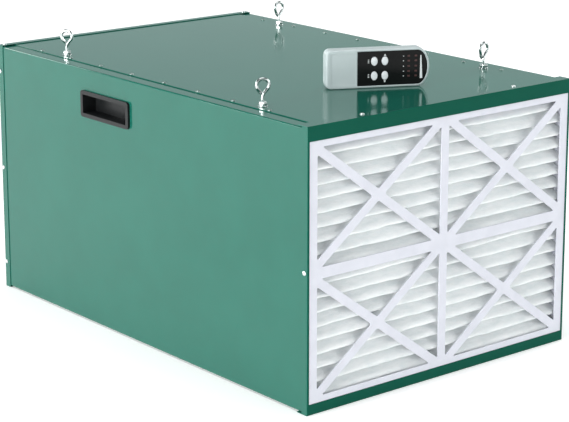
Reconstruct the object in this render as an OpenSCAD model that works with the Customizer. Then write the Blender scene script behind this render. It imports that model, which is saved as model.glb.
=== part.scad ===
// Ceiling-hung shop dust collector (ambient air cleaner) with its remote control.
// Millimetres. +Z up, the filter face looks towards -Y, the air leaves at +Y.
// The origin is at the middle of the overall box, on the surface that it rests on.

/* [Cabinet] */
// Width of the cabinet across the filter face
body_w = 508; // [440:1:620]
// Length of the cabinet from the filter face to the rear cover
body_l = 776; // [700:1:940]
// Height of the cabinet
body_h = 406; // [390:1:500]
// Thickness of the painted steel sheet
sheet_t = 1.2; // [0.8:0.1:1.6]
// Width of the flanges folded in along the top and bottom of each side panel
side_flange = 58; // [50:1:80]
// Distance from a side panel to the edge of the top and bottom panels
panel_inset = 23; // [10:1:26]
// Gap between the edges of sheets that meet inside a folded cover
edge_gap = 0.4; // [0.2:0.1:1]

/* [Front frame] */
// Height of the lip above the filter
lip_top = 21; // [12:1:28]
// Height of the lip below the filter
lip_bottom = 15; // [12:1:20]
// Depth of the strip that the front frame folds over the top and bottom panels
wrap_top = 22; // [16:1:30]
// Depth of the strip that the front frame folds over the side panels
wrap_side = 12; // [10:1:20]
// Height of the stops behind the filters
stop_h = 8; // [5:1:12]

/* [Rear cover] */
// Depth of the flange that the rear cover folds over the panels
rear_flange = 14; // [12:1:24]
// Distance from the top and bottom edges to the outer side screws
cover_screw_inset = 43; // [30:1:60]
// How far the cord gland stands out of the rear cover
gland_out = 12; // [8:1:20]

/* [Outer filter] */
// Depth of the pleated filter
filter_d = 44; // [25:1:60]
// Side gap between the filters and the side panels
filter_gap = 1.6; // [1:0.1:4]
// Gap between the filters and the lips above and below
filter_lip_gap = 0.5; // [0.3:0.1:1.5]
// Thickness of the card frame
card_t = 2; // [1.5:0.1:3]
// Width of the card border at the sides
border_side = 14; // [10:1:30]
// Width of the card border at the top
border_top = 9; // [5:1:20]
// Width of the card border at the bottom
border_bottom = 9; // [5:1:20]
// Width of the upright middle bar
bar_v = 14; // [8:1:24]
// Width of the level middle bar
bar_h = 16; // [8:1:24]
// Width of the diagonal bars
bar_x = 12; // [8:1:24]
// Radius of the hub where the bars meet
hub_r = 20; // [14:1:34]
// Distance between pleats
pleat_pitch = 20; // [16:0.5:40]
// Thickness of the pleated sheet
pleat_t = 1.6; // [1:0.1:3]
// How far the outer filter pulls out of the cabinet
outer_filter_travel = 60; // [48:1:120]

/* [Pocket filter] */
// Depth of the pocket filter's frame
pocket_frame_d = 22; // [15:1:30]
// Width of the pocket filter's frame
pocket_border = 22; // [15:1:30]
// Depth of each pocket
pocket_d = 256; // [180:1:300]
// Number of pockets
pocket_count = 6; // [4:1:8]
// Width of a pocket's closed end
pocket_tip = 12; // [8:1:20]
// Gap between a pocket and its neighbour
pocket_gap = 4; // [2:1:10]

/* [Eye bolts] */
// Distance from a side of the cabinet to an eye bolt
eye_inset_x = 39; // [36:1:52]
// Distance from the front or the rear of the cabinet to an eye bolt
eye_inset_y = 143; // [110:1:200]
// Radius of the wire
eye_wire_r = 2.2; // [1.8:0.1:3]
// Inner radius of the eye at its narrowest
eye_hole_r = 6.85; // [5:0.05:10]
// Depth of the flat land that wear gives the inside of the eye
eye_land = 0.25; // [0.1:0.05:0.5]
// Height of the eye's centre above the top panel
eye_h = 30; // [24:1:40]
// Turn of each eye about its shank: front left, front right, rear left, rear right
eye_turns = [-26, 6, -58, 1];

/* [Handles] */
// Length of the handle's rim
handle_l = 125; // [100:1:160]
// Height of the handle's rim
handle_h = 41; // [34:1:60]
// Width of the rim's band
handle_band = 6; // [5:1:10]
// How far the rim stands out of the side panel
handle_rim = 4; // [2:0.5:6]
// Depth of the recess behind the side panel
handle_d = 22; // [16:1:30]
// Wall of the recess
handle_wall = 2; // [1.5:0.5:3]
// Distance from the cabinet's top to the middle of the handle
handle_drop = 56; // [40:1:80]
// Distance from the rear of the cabinet to the middle of the handle
handle_from_rear = 303; // [150:1:380]

/* [Blower] */
// Outer radius of the blower wheel
wheel_r = 120; // [100:1:125]
// Width of the blower wheel
wheel_w = 190; // [150:1:196]
// Depth of the blades
blade_d = 22; // [16:1:30]
// Number of blades
blade_count = 36; // [24:1:48]
// Width of the scroll between its side plates
scroll_w = 220; // [206:1:226]
// Gap between the wheel and the scroll's cut-off
scroll_gap = 12; // [8:1:16]
// How much the scroll's radius grows in one turn
scroll_growth = 58; // [40:1:62]
// Thickness of the scroll's sheet
scroll_t = 1.2; // [0.8:0.1:2]
// Height of the blower's shaft above the floor of the cabinet
shaft_h = 178; // [176:1:190]
// Distance from the rear of the cabinet to the blower's shaft
shaft_from_rear = 230; // [210:1:260]

/* [Motor] */
// Outer radius of the motor's shell
motor_r = 65; // [50:1:70]
// Length of the motor's shell
motor_l = 88; // [70:1:100]
// Radius of the shaft
shaft_r = 4; // [3:0.5:6]
// Radial clearance between the shaft and its bearings
shaft_gap = 0.05; // [0.02:0.01:0.09]

/* [Controls] */
// Width of the control panel
control_w = 118; // [110:1:120]
// Height of the control panel
control_h = 60; // [50:1:70]
// Height of the control panel's middle above the floor
control_z = 130; // [120:1:150]
// Travel of the control buttons
button_travel = 1; // [0.5:0.1:2]

/* [Remote control] */
// Length of the remote control
remote_l = 154; // [130:1:190]
// Height of the remote control as it stands on its long edge
remote_h = 57; // [48:1:75]
// Thickness of the remote control
remote_d = 21; // [18:1:28]
// Depth of the remote control's rounded end
remote_end = 18; // [12:1:30]
// Wall of the remote control's shells
remote_wall = 2; // [1.5:0.1:3]
// Place of the remote control's middle, to the right of the cabinet's middle
remote_x = -3; // [-80:1:80]
// Place of the remote control's middle, behind the filter face
remote_from_front = 144; // [100:1:300]
// Turn of the remote control about the vertical
remote_turn = -27; // [-45:1:45]
// Travel of the remote control's buttons
key_travel = 0.8; // [0.4:0.1:1.2]

/* [Hidden] */
$fn = 48;

// Paint and material colours
green = [0.30, 0.56, 0.49];
dark_green = [0.10, 0.36, 0.30];
zinc = [0.80, 0.81, 0.82];
galvanised = [0.66, 0.68, 0.70];
black = [0.06, 0.06, 0.07];
card_white = [0.93, 0.94, 0.97];
media_white = [0.88, 0.90, 0.89];
pocket_white = [0.86, 0.86, 0.80];
remote_grey = [0.74, 0.78, 0.80];

eps = 0.01;
// A running fit between plastic pieces, and the gap at a rest
slip = 0.3;
seat = 0.2;

// The cabinet's faces
front_y = -(body_l + gland_out) / 2;
rear_y = front_y + body_l;
skin_x = body_w / 2 - sheet_t;
inner_x = skin_x - sheet_t;
panel_x = skin_x - panel_inset;
panel_top = body_h - sheet_t;
flange_top = body_h - 2 * sheet_t;
floor_top = 3 * sheet_t;
sheet_front = front_y + sheet_t + edge_gap;
sheet_rear = rear_y - sheet_t - edge_gap;

// Screws: pan-head self-tapping
screw_r = 1.75;
screw_hole_r = 1.9;
screw_head_r = 3.2;
screw_head_h = 1.8;
screw_l = 8;
frame_screw_l = 2 * sheet_t + filter_gap - 0.6;
top_screw_first = 115;
top_screw_last = 87;
top_screw_count = 8;
top_screw_x = panel_x - 4.5;
front_screw_x = body_w * 0.288;
front_screw_y = front_y + wrap_top - 9;
cover_screw_y = rear_y - 6;
cover_top_screw_x = body_w / 2 - 9;
frame_screw_y = front_y + wrap_side / 2;
top_screw_ys = [for (i = [0:top_screw_count - 1])
    front_y + top_screw_first
    + i * (body_l - top_screw_first - top_screw_last) / (top_screw_count - 1)];

// Eye bolts: places and turns go together, front left first
eye_x = body_w / 2 - eye_inset_x;
eye_front = front_y + eye_inset_y;
eye_rear = rear_y - eye_inset_y;
eye_places = [[-eye_x, eye_front], [eye_x, eye_front], [-eye_x, eye_rear], [eye_x, eye_rear]];
eye_ring_r = eye_hole_r - eye_land + eye_wire_r;
eye_shank_below = 16;
eye_hole_gap = 0.3;
nut_across = 11;
nut_h = 5;
washer_r = 7;
washer_t = 1.4;
nut_slip = 0.05;

// Filters
filter_w = 2 * (inner_x - filter_gap);
filter_z0 = lip_bottom + filter_lip_gap;
filter_h = body_h - lip_top - lip_bottom - 2 * filter_lip_gap;
lip_side = (body_w - filter_w) / 2 - filter_lip_gap;
filter_y0 = front_y + 1;
filter_y1 = filter_y0 + filter_d;
pocket_y0 = filter_y1 + 1;
pocket_y1 = pocket_y0 + pocket_frame_d;
shelf_y1 = pocket_y1 + 0.5;
shelf_gap = 0.5;
back_rim = 12;
mesh_t = 1;
mesh_pitch = 45;
mesh_bar = 2;
pleat_count = floor((filter_h - 2 * card_t - 2) / pleat_pitch);
pleat_span = pleat_count * pleat_pitch;
pleat_front = filter_y0 + card_t + 0.3;
pleat_back = filter_y1 - card_t - mesh_t - 0.6;

// Handles
handle_y = rear_y - handle_from_rear;
handle_z = body_h - handle_drop;
handle_hole_l = handle_l - 2 * handle_band;
handle_hole_h = handle_h - 2 * handle_band;
handle_fit = 0.4;
handle_corner = 5;
handle_undercut = 5;

// Blower
shaft_y = rear_y - shaft_from_rear;
scroll_r0 = wheel_r + scroll_gap;
scroll_x = scroll_w / 2;
tongue_angle = 55;
tongue_r = scroll_r(tongue_angle);
outlet_top = shaft_h + scroll_r(360);
outlet_bottom = shaft_h + tongue_r * cos(tongue_angle);
outlet_mid = (outlet_top + outlet_bottom) / 2;
outlet_h = outlet_top - outlet_bottom;
outlet_y = rear_y - sheet_t - 0.05;
outlet_flange = 12;
inlet_r = wheel_r - blade_d - 3;
inlet_mouth_r = inlet_r + 13;
wheel_end_gap = 2.5;
disc_t = 2;
hub_len = 34;
hub_outer_r = 13;
spiral_steps = 48;

// Motor
motor_x0 = scroll_x + scroll_t + 11;
motor_x1 = motor_x0 + motor_l;
shell_t = 1.6;
bell_t = 3;
bearing_r = 11;
bearing_w = 7;
stator_l = motor_l * 0.5;
winding_l = 6;
rotor_r = motor_r * 0.53;
air_gap = 0.6;
band_w = 18;
band_t = 1.5;
arm_w = 14;
arm_t = 2.5;
arm_r = wheel_r - 1;
arm_angles = [90, 210, 330];
foot_l = 16;
bush_t = 4;
bolt_r = 2.5;
bolt_hole_r = 2.7;
bolt_head_r = 4.5;
bolt_head_h = 3.5;
motor_band_x = (motor_x0 + motor_x1) / 2;

// Blower feet
bracket_t = 2;
bracket_w = 30;
bracket_h = 62;
bracket_foot = 26;
feet_ys = [shaft_y - 70, shaft_y + 70];

// Controls
control_x = -(body_w / 2 - sheet_t * 2 + scroll_x + scroll_t + 4) / 2;
control_t = 2.5;
control_rim = 8;
box_d = 40;
box_t = 1;
board_t = 1.6;
board_y = rear_y - sheet_t - 11;
button_r = 6;
button_flange_r = 7.4;
button_proud = 2;
button_pitch = 32;
button_z = control_z - 10;
lens_r = 1.6;
lens_z = control_z + 12;
lens_count = 6;
lens_pitch = 9;
receiver_r = 4;
receiver_x = control_x + 42;
cap_r = 20;
cap_l = 66;
cap_x = -190;
cap_y = shaft_y - 20;
gland_z = 60;
gland_r = 11;
gland_hole_r = 8;
gland_bore_r = 3.6;
lead_r = 3.4;
lead_bend = 20;
lead_z = 148;
lead_y = rear_y - 26;

// Exhaust grille
grille_border = 14;
grille_t = 2;
grille_w = scroll_w + 2 * grille_border;
grille_h = outlet_h + 2 * grille_border;
louvre_count = 7;
louvre_t = 1.2;
louvre_d = 9;
opening_w = scroll_w - 6;
opening_h = outlet_h - 6;
grille_screw_x = grille_w / 2 - 6;
grille_screw_z = grille_h / 2 - 6;

// Remote control: it lies in its own frame, with its length along X, its face towards -Y
// and its long edge on Z = 0
remote_face = -remote_d / 2;
remote_split = remote_face + 6;
remote_corner = 8;
panel_pocket = 0.8;
panel_margin = 3.4;
panel_x0 = -remote_l / 2 + 46;
key_w = 9.4;
key_h = 12.9;
key_x1 = -remote_l / 2 + 71;
key_x2 = -remote_l / 2 + 86.8;
key_rise = 10.7;
key_proud = 1.2;
key_flange = 1.2;
key_flange_t = 1;
remote_board_t = 1.6;
door_l = 60;
door_h = 40;
door_t = 1.6;
bay_l = 50;
bay_h = 27;
battery_r = 5.1;
battery_l = 44.5;
battery_pitch = 12;
remote_lens_r = 2.5;
remote_base = panel_top + seat;

// ---------- outlines ----------

// Points of a rectangle with round corners, centred
function round_rect(w, h, r, n = 6) = [for (c = [0:3]) for (i = [0:n])
    let (a = c * 90 + i * 90 / n,
         cx = (c == 0 || c == 3 ? 1 : -1) * (w / 2 - r),
         cy = (c < 2 ? 1 : -1) * (h / 2 - r))
    [cx + r * cos(a), cy + r * sin(a)]];

// Radius of the scroll at an angle measured from the top, the way the wheel turns
function scroll_r(a) = wheel_r + scroll_gap + scroll_growth * a / 360;

// A point of the scroll in the YZ plane, grown outwards by g
function scroll_point(a, g) = [shaft_y + (scroll_r(a) + g) * sin(a),
                               shaft_h + (scroll_r(a) + g) * cos(a)];

// The scroll's inside with its outlet, as one closed outline grown by g
function scroll_outline(g, end) = concat(
    [[end, outlet_bottom - g]],
    [for (i = [0:spiral_steps])
        scroll_point(tongue_angle + (360 - tongue_angle) * i / spiral_steps, g)],
    [[end, outlet_top + g]]);

// Points of an ellipse
function ellipse(w, h, n = 32) = [for (i = [0:n - 1])
    [w / 2 * cos(i * 360 / n), h / 2 * sin(i * 360 / n)]];

// The remote control's outline, inset by d: square at the left, half an ellipse at the right
function remote_outline(d, n = 24) =
    let (r = remote_h / 2, c = remote_l / 2 - remote_end, q = max(remote_corner - d, 0.5))
    concat(
        [for (i = [0:n]) let (a = -90 + 180 * i / n)
            [c + (remote_end - d) * cos(a), r + (r - d) * sin(a)]],
        [for (i = [0:6]) let (a = 90 + 15 * i)
            [-remote_l / 2 + d + q + q * cos(a), remote_h - d - q + q * sin(a)]],
        [for (i = [0:6]) let (a = 180 + 15 * i)
            [-remote_l / 2 + d + q + q * cos(a), d + q + q * sin(a)]]);

// The dark panel's outline on the remote control's face
function panel_outline(d, n = 20) =
    let (m = panel_margin + d, r = remote_h / 2, c = remote_l / 2 - remote_end)
    concat([for (i = [0:n]) let (a = -90 + 180 * i / n)
            [c + (remote_end - m) * cos(a), r + (r - m) * sin(a)]],
        [[panel_x0 + d, remote_h - m], [panel_x0 + d, m]]);

// Edge of the pleated sheet in the YZ plane, pushed by t towards the back
function pleat_edge(t) = [for (i = [0:2 * pleat_count])
    [(i % 2 == 0 ? pleat_back - pleat_t : pleat_front) + t,
     filter_z0 + (filter_h - pleat_span) / 2 + i * pleat_pitch / 2]];

// ---------- building blocks ----------

// Box from its lowest corner
module block(low, size) {
    translate(low) cube(size);
}

// An outline drawn in XZ, pushed along +Y from y0 by d
module slab_y(y0, d) {
    translate([0, y0 + d, 0]) rotate([90, 0, 0]) linear_extrude(d) children();
}

// An outline drawn in YZ, pushed along +X from x0 by d
module slab_x(x0, d) {
    translate([x0, 0, 0]) rotate([90, 0, 90]) linear_extrude(d) children();
}

// Cylinder along X and along Y
module rod_x(x0, l, r) {
    translate([x0, 0, 0]) rotate([0, 90, 0]) cylinder(h = l, r = r);
}
module rod_y(y0, l, r) {
    translate([0, y0, 0]) rotate([-90, 0, 0]) cylinder(h = l, r = r);
}

// Pan-head screw: the head stands on z = 0 and the shank goes down by l
module screw(l = screw_l) {
    cylinder(h = screw_head_h * 0.6, r = screw_head_r);
    translate([0, 0, screw_head_h * 0.6 - eps])
        cylinder(h = screw_head_h * 0.4, r1 = screw_head_r, r2 = screw_head_r * 0.6);
    translate([0, 0, -l]) cylinder(h = l + eps, r = screw_r);
}

// Hexagon-head bolt, standing like the screw
module bolt(l) {
    cylinder(h = bolt_head_h, r = bolt_head_r, $fn = 6);
    translate([0, 0, -l]) cylinder(h = l + eps, r = bolt_r);
}

// ---------- screw places ----------

module at_top_screws() {
    for (s = [-1, 1]) for (y = top_screw_ys) translate([s * top_screw_x, y, panel_top]) children();
}
module at_wrap_screws() {
    for (s = [-1, 1]) translate([s * front_screw_x, front_screw_y, body_h]) children();
}
module at_cover_side_screws(s) {
    for (z = [cover_screw_inset, body_h / 2, body_h - cover_screw_inset])
        translate([s * body_w / 2, cover_screw_y, z]) rotate([0, s * 90, 0]) children();
}
module at_cover_top_screws() {
    for (s = [-1, 1]) translate([s * cover_top_screw_x, cover_screw_y, body_h]) children();
}
module at_frame_screw(s) {
    translate([s * body_w / 2, frame_screw_y, body_h / 2]) rotate([0, s * 90, 0]) children();
}
module at_eyes() {
    for (p = eye_places) translate([p[0], p[1], panel_top]) children();
}
module screw_hole() {
    translate([0, 0, -screw_l - 1]) cylinder(h = screw_l + 4, r = screw_hole_r);
}
module at_feet_bolts() {
    for (y = feet_ys) for (s = [-1, 1])
        translate([s * (scroll_x + scroll_t + bracket_t), y, bracket_h - 8])
            rotate([0, s * 90, 0]) children();
}
module at_bracket_bolts() {
    for (a = arm_angles) translate([scroll_x + scroll_t + bush_t + arm_t, shaft_y, shaft_h])
        rotate([a, 0, 0]) translate([0, arm_r, 0]) rotate([0, 90, 0]) children();
}

// ---------- cabinet ----------

// One side panel with its folded flanges; s is -1 for the left and 1 for the right
module side_panel(s) {
    web = sheet_rear - sheet_front;
    difference() {
        union() {
            block([s > 0 ? inner_x : -skin_x, sheet_front, 2 * sheet_t],
                [sheet_t, web, body_h - 4 * sheet_t]);
            for (z = [2 * sheet_t, flange_top - sheet_t])
                block([s > 0 ? skin_x - side_flange : -skin_x, sheet_front, z],
                    [side_flange, web, sheet_t]);
        }
        block([s > 0 ? inner_x - 1 : -skin_x - 1, handle_y - handle_hole_l / 2 - handle_fit
                - handle_wall, handle_z - handle_hole_h / 2 - handle_fit - handle_wall],
            [sheet_t + 2, handle_hole_l + 2 * (handle_fit + handle_wall),
                handle_hole_h + 2 * (handle_fit + handle_wall)]);
        at_cover_side_screws(s) screw_hole();
        at_frame_screw(s) screw_hole();
        at_top_screws() screw_hole();
        at_cover_top_screws() screw_hole();
        at_eyes() translate([0, 0, -10]) cylinder(h = 20, r = eye_wire_r + eye_hole_gap);
    }
}
module side_panel_left() { color(green) side_panel(-1); }
module side_panel_right() { color(green) side_panel(1); }

module top_panel() {
    color(green) difference() {
        block([-panel_x, sheet_front, flange_top], [2 * panel_x, sheet_rear - sheet_front, sheet_t]);
        at_top_screws() screw_hole();
        at_wrap_screws() screw_hole();
        at_eyes() translate([0, 0, -10]) cylinder(h = 20, r = eye_wire_r + eye_hole_gap);
    }
}

module bottom_panel() {
    color(green)
        block([-panel_x, sheet_front, sheet_t], [2 * panel_x, sheet_rear - sheet_front, sheet_t]);
}

// Collar round the filter opening: wraps, lips, and the shelves that both filters slide on
module front_frame() {
    shelf_w = 2 * (inner_x - shelf_gap);
    color(dark_green) difference() {
        union() {
            for (z = [0, body_h - sheet_t])
                block([-body_w / 2, front_y, z], [body_w, wrap_top, sheet_t]);
            for (x = [-body_w / 2, skin_x])
                block([x, front_y, 0], [sheet_t, wrap_side, body_h]);
            for (x = [-body_w / 2, body_w / 2 - lip_side])
                block([x, front_y, 0], [lip_side, sheet_t, body_h]);
            block([-body_w / 2, front_y, 0], [body_w, sheet_t, lip_bottom]);
            block([-body_w / 2, front_y, body_h - lip_top], [body_w, sheet_t, lip_top]);
            block([-shelf_w / 2, front_y, lip_bottom - sheet_t],
                [shelf_w, shelf_y1 - front_y, sheet_t]);
            block([-shelf_w / 2, front_y, body_h - lip_top],
                [shelf_w, shelf_y1 - front_y, sheet_t]);
            block([-shelf_w / 2, shelf_y1, lip_bottom - sheet_t],
                [shelf_w, sheet_t, stop_h + sheet_t]);
            block([-shelf_w / 2, shelf_y1, body_h - lip_top - stop_h],
                [shelf_w, sheet_t, stop_h + sheet_t]);
        }
        at_wrap_screws() screw_hole();
        for (s = [-1, 1]) at_frame_screw(s) screw_hole();
    }
}

module front_frame_screws() {
    color(zinc) {
        at_wrap_screws() screw();
        for (s = [-1, 1]) at_frame_screw(s) screw(frame_screw_l);
    }
}

module top_screws() {
    color(zinc) at_top_screws() screw();
}

module cover_screws() {
    color(zinc) {
        for (s = [-1, 1]) at_cover_side_screws(s) screw();
        at_cover_top_screws() screw();
    }
}

// Pan over the back of the cabinet, with the exhaust opening and the control window
module rear_cover() {
    color(green) difference() {
        union() {
            block([-body_w / 2, rear_y - sheet_t, 0], [body_w, sheet_t, body_h]);
            for (z = [0, body_h - sheet_t])
                block([-body_w / 2, rear_y - rear_flange, z], [body_w, rear_flange, sheet_t]);
            for (x = [-body_w / 2, skin_x])
                block([x, rear_y - rear_flange, 0], [sheet_t, rear_flange, body_h]);
        }
        block([-opening_w / 2, rear_y - 5, outlet_mid - opening_h / 2], [opening_w, 10, opening_h]);
        block([control_x - control_w / 2 + control_rim, rear_y - 5,
                control_z - control_h / 2 + control_rim],
            [control_w - 2 * control_rim, 10, control_h - 2 * control_rim]);
        translate([control_x, 0, gland_z]) rod_y(rear_y - 5, 10, gland_hole_r + 0.2);
        for (s = [-1, 1]) at_cover_side_screws(s) screw_hole();
        at_cover_top_screws() screw_hole();
        at_rear_screws() screw_hole();
    }
}

// Screws of the grille and of the control panel, standing on the rear cover's pieces
module at_rear_screws() {
    for (sx = [-1, 1]) for (sz = [-1, 1]) {
        translate([sx * grille_screw_x, rear_y + grille_t, outlet_mid + sz * grille_screw_z])
            rotate([-90, 0, 0]) children();
        translate([control_x + sx * (control_w / 2 - 5), rear_y + control_t,
                control_z + sz * (control_h / 2 - 5)])
            rotate([-90, 0, 0]) children();
    }
}
module rear_screws() {
    color(zinc) at_rear_screws() screw();
}

// Grille with sloping louvres
module exhaust_grille() {
    color(black) difference() {
        union() {
            difference() {
                block([-grille_w / 2, rear_y, outlet_mid - grille_h / 2], [grille_w, grille_t, grille_h]);
                block([-opening_w / 2 + 4, rear_y - 1, outlet_mid - opening_h / 2 + 4],
                    [opening_w - 8, grille_t + 2, opening_h - 8]);
            }
            for (i = [0:louvre_count - 1])
                translate([-opening_w / 2 + 3, rear_y + grille_t / 2,
                        outlet_mid + (i - (louvre_count - 1) / 2) * (opening_h - 12) / louvre_count])
                    rotate([-35, 0, 0])
                        block([0, -louvre_d / 2, -louvre_t / 2], [opening_w - 6, louvre_d, louvre_t]);
            for (x = [-opening_w / 6, opening_w / 6])
                block([x - 1.5, rear_y, outlet_mid - opening_h / 2 + 3], [3, grille_t, opening_h - 6]);
        }
        at_rear_screws() screw_hole();
    }
}

// ---------- eye bolts ----------

// A bent-wire eye with its shank; the inside of the ring has a short true land
module eye_bolt() {
    difference() {
        translate([0, 0, eye_h]) rotate([90, 0, 0])
            rotate_extrude($fn = 64) translate([eye_ring_r, 0]) circle(r = eye_wire_r, $fn = 32);
        translate([0, 0, eye_h]) rotate([90, 0, 0])
            cylinder(h = 20, r = eye_hole_r, center = true, $fn = 64);
    }
    difference() {
        translate([0, 0, -eye_shank_below])
            cylinder(h = eye_shank_below + eye_h - eye_ring_r, r = eye_wire_r);
        translate([0, 0, eye_h]) rotate([90, 0, 0])
            cylinder(h = 20, r = eye_hole_r, center = true, $fn = 64);
    }
}
module eye_bolts() {
    color(zinc) for (i = [0:3])
        translate([eye_places[i][0], eye_places[i][1], panel_top]) rotate([0, 0, eye_turns[i]])
            eye_bolt();
}
module nut() {
    difference() {
        cylinder(h = nut_h, r = nut_across / 2 / cos(30), $fn = 6);
        translate([0, 0, -1]) cylinder(h = nut_h + 2, r = eye_wire_r + nut_slip);
    }
}
module eye_bolt_nuts() {
    color(zinc) at_eyes() translate([0, 0, washer_t]) nut();
}
module eye_bolt_washers() {
    color(zinc) at_eyes() for (z = [0, -2 * sheet_t - washer_t])
        translate([0, 0, z]) difference() {
            cylinder(h = washer_t, r = washer_r);
            translate([0, 0, -1]) cylinder(h = washer_t + 2, r = eye_wire_r + nut_slip);
        }
}
module eye_bolt_inner_nuts() {
    color(zinc) at_eyes() translate([0, 0, -2 * sheet_t - washer_t - nut_h]) nut();
}

// ---------- handles ----------

// Recessed pull in the left side panel; the right one is its mirror image
module handle() {
    out = body_w / 2 - sheet_t;
    color(black) translate([0, handle_y, handle_z]) difference() {
        union() {
            slab_x(-out - handle_rim, handle_rim)
                polygon(round_rect(handle_l, handle_h, handle_corner));
            block([-out - eps, -handle_hole_l / 2 - handle_wall, -handle_hole_h / 2 - handle_wall],
                [handle_d, handle_hole_l + 2 * handle_wall, handle_hole_h + 2 * handle_wall]);
            block([-out + sheet_t + 0.5, -handle_hole_l / 2 - handle_wall, 0],
                [handle_d - sheet_t - 0.5, handle_hole_l + 2 * handle_wall,
                    handle_hole_h / 2 + handle_undercut + handle_wall]);
        }
        block([-out - handle_rim - 1, -handle_hole_l / 2, -handle_hole_h / 2],
            [handle_d + handle_rim + 1 - handle_wall, handle_hole_l, handle_hole_h]);
        block([-out + sheet_t + 0.5 + handle_wall, -handle_hole_l / 2, 0],
            [handle_d - sheet_t - 0.5 - 2 * handle_wall, handle_hole_l,
                handle_hole_h / 2 + handle_undercut]);
    }
}
module handle_left() { handle(); }
module handle_right() { mirror([1, 0, 0]) handle(); }

// ---------- filters ----------

// The die-cut face of the card frame, drawn in XZ about its lower left corner
module card_face() {
    w = filter_w;
    h = filter_h;
    difference() {
        square([w, h]);
        translate([border_side, border_bottom])
            square([w - 2 * border_side, h - border_top - border_bottom]);
    }
    intersection() {
        square([w, h]);
        translate([w / 2, h / 2]) {
            square([bar_v, h], center = true);
            square([w, bar_h], center = true);
            circle(r = hub_r, $fn = 16);
            for (sx = [-1, 1]) for (sz = [-1, 1]) for (d = [-1, 1])
                translate([sx * w / 4, sz * h / 4]) rotate(d * atan2(h, w))
                    square([norm([w, h]) / 2, bar_x], center = true);
        }
    }
}

module outer_filter_frame() {
    color(card_white) {
        translate([-filter_w / 2, filter_y0 + card_t, filter_z0]) rotate([90, 0, 0])
            linear_extrude(card_t) card_face();
        difference() {
            block([-filter_w / 2, filter_y0 + card_t - eps, filter_z0],
                [filter_w, filter_d - card_t + eps, filter_h]);
            block([-filter_w / 2 + card_t, filter_y0, filter_z0 + card_t],
                [filter_w - 2 * card_t, filter_d - card_t, filter_h - 2 * card_t]);
            block([-filter_w / 2 + back_rim, filter_y0, filter_z0 + back_rim],
                [filter_w - 2 * back_rim, filter_d + 1, filter_h - 2 * back_rim]);
        }
    }
}

module outer_filter_media() {
    w = filter_w - 2 * card_t - 0.6;
    back = pleat_edge(pleat_t);
    color(media_white) slab_x(-w / 2, w)
        polygon(concat(pleat_edge(0), [for (i = [len(back) - 1:-1:0]) back[i]]));
}

module outer_filter_mesh() {
    w = filter_w - 2 * card_t - 0.6;
    h = filter_h - 2 * card_t - 0.6;
    z0 = filter_z0 + card_t + 0.3;
    nx = floor(w / mesh_pitch);
    nz = floor(h / mesh_pitch);
    color(galvanised) translate([-w / 2, filter_y1 - card_t - 0.3, z0]) rotate([90, 0, 0])
        linear_extrude(mesh_t) {
            for (i = [0:nx]) translate([i * (w - mesh_bar) / nx, 0]) square([mesh_bar, h]);
            for (i = [0:nz]) translate([0, i * (h - mesh_bar) / nz]) square([w, mesh_bar]);
        }
}

module pocket_filter_frame() {
    b = pocket_border;
    pitch = (filter_w - 2 * b) / pocket_count;
    color(galvanised) {
        difference() {
            block([-filter_w / 2, pocket_y0, filter_z0], [filter_w, pocket_frame_d, filter_h]);
            block([-filter_w / 2 + b, pocket_y0 - 1, filter_z0 + b],
                [filter_w - 2 * b, pocket_frame_d + 2, filter_h - 2 * b]);
        }
        for (i = [1:pocket_count - 1])
            block([-filter_w / 2 + b + i * pitch - pocket_gap / 2 + 0.3,
                    pocket_y0 + pocket_frame_d - 6, filter_z0 + b - eps],
                [pocket_gap - 0.6, 6, filter_h - 2 * b + 2 * eps]);
    }
}

// One pocket seen from above: wide at the mouth, round at the closed end
function pocket_outline(w) = concat(
    [[-w / 2, 0], [w / 2, 0]],
    [for (i = [1:6]) [w / 2 - (w - pocket_tip) / 2 * pow(i / 6, 1.6), pocket_d * i / 6.5]],
    [for (i = [1:5]) let (a = i * 180 / 6) [pocket_tip / 2 * cos(a),
        pocket_d * 6 / 6.5 + pocket_d * 0.5 / 6.5 * sin(a)]],
    [for (i = [6:-1:1]) [-w / 2 + (w - pocket_tip) / 2 * pow(i / 6, 1.6), pocket_d * i / 6.5]]);

module pocket_filter_pockets() {
    b = pocket_border;
    pitch = (filter_w - 2 * b) / pocket_count;
    color(pocket_white) for (i = [0:pocket_count - 1])
        translate([-filter_w / 2 + b + (i + 0.5) * pitch, pocket_y0 + pocket_frame_d - 6,
                filter_z0 + b + slip])
            linear_extrude(filter_h - 2 * b - 2 * slip) polygon(pocket_outline(pitch - pocket_gap));
}

// ---------- blower ----------

// Wrap of the scroll with its outlet duct and flange
module blower_scroll() {
    color(galvanised) difference() {
        union() {
            slab_x(-scroll_x, scroll_w) polygon(scroll_outline(scroll_t, outlet_y));
            block([-scroll_x - outlet_flange, outlet_y - scroll_t,
                    outlet_bottom - outlet_flange],
                [scroll_w + 2 * outlet_flange, scroll_t, outlet_h + 2 * outlet_flange]);
        }
        slab_x(-scroll_x - 1, scroll_w + 2) polygon(scroll_outline(0, outlet_y + 5));
        for (s = [-1, 1]) block([s > 0 ? scroll_x : -scroll_x - scroll_t - 0.1,
                outlet_y - scroll_t - 1, outlet_bottom - scroll_t - 0.1],
            [scroll_t + 0.1, scroll_t + 2, outlet_h + 2 * scroll_t + 0.2]);
        at_rear_screws() screw_hole();
    }
}

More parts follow.
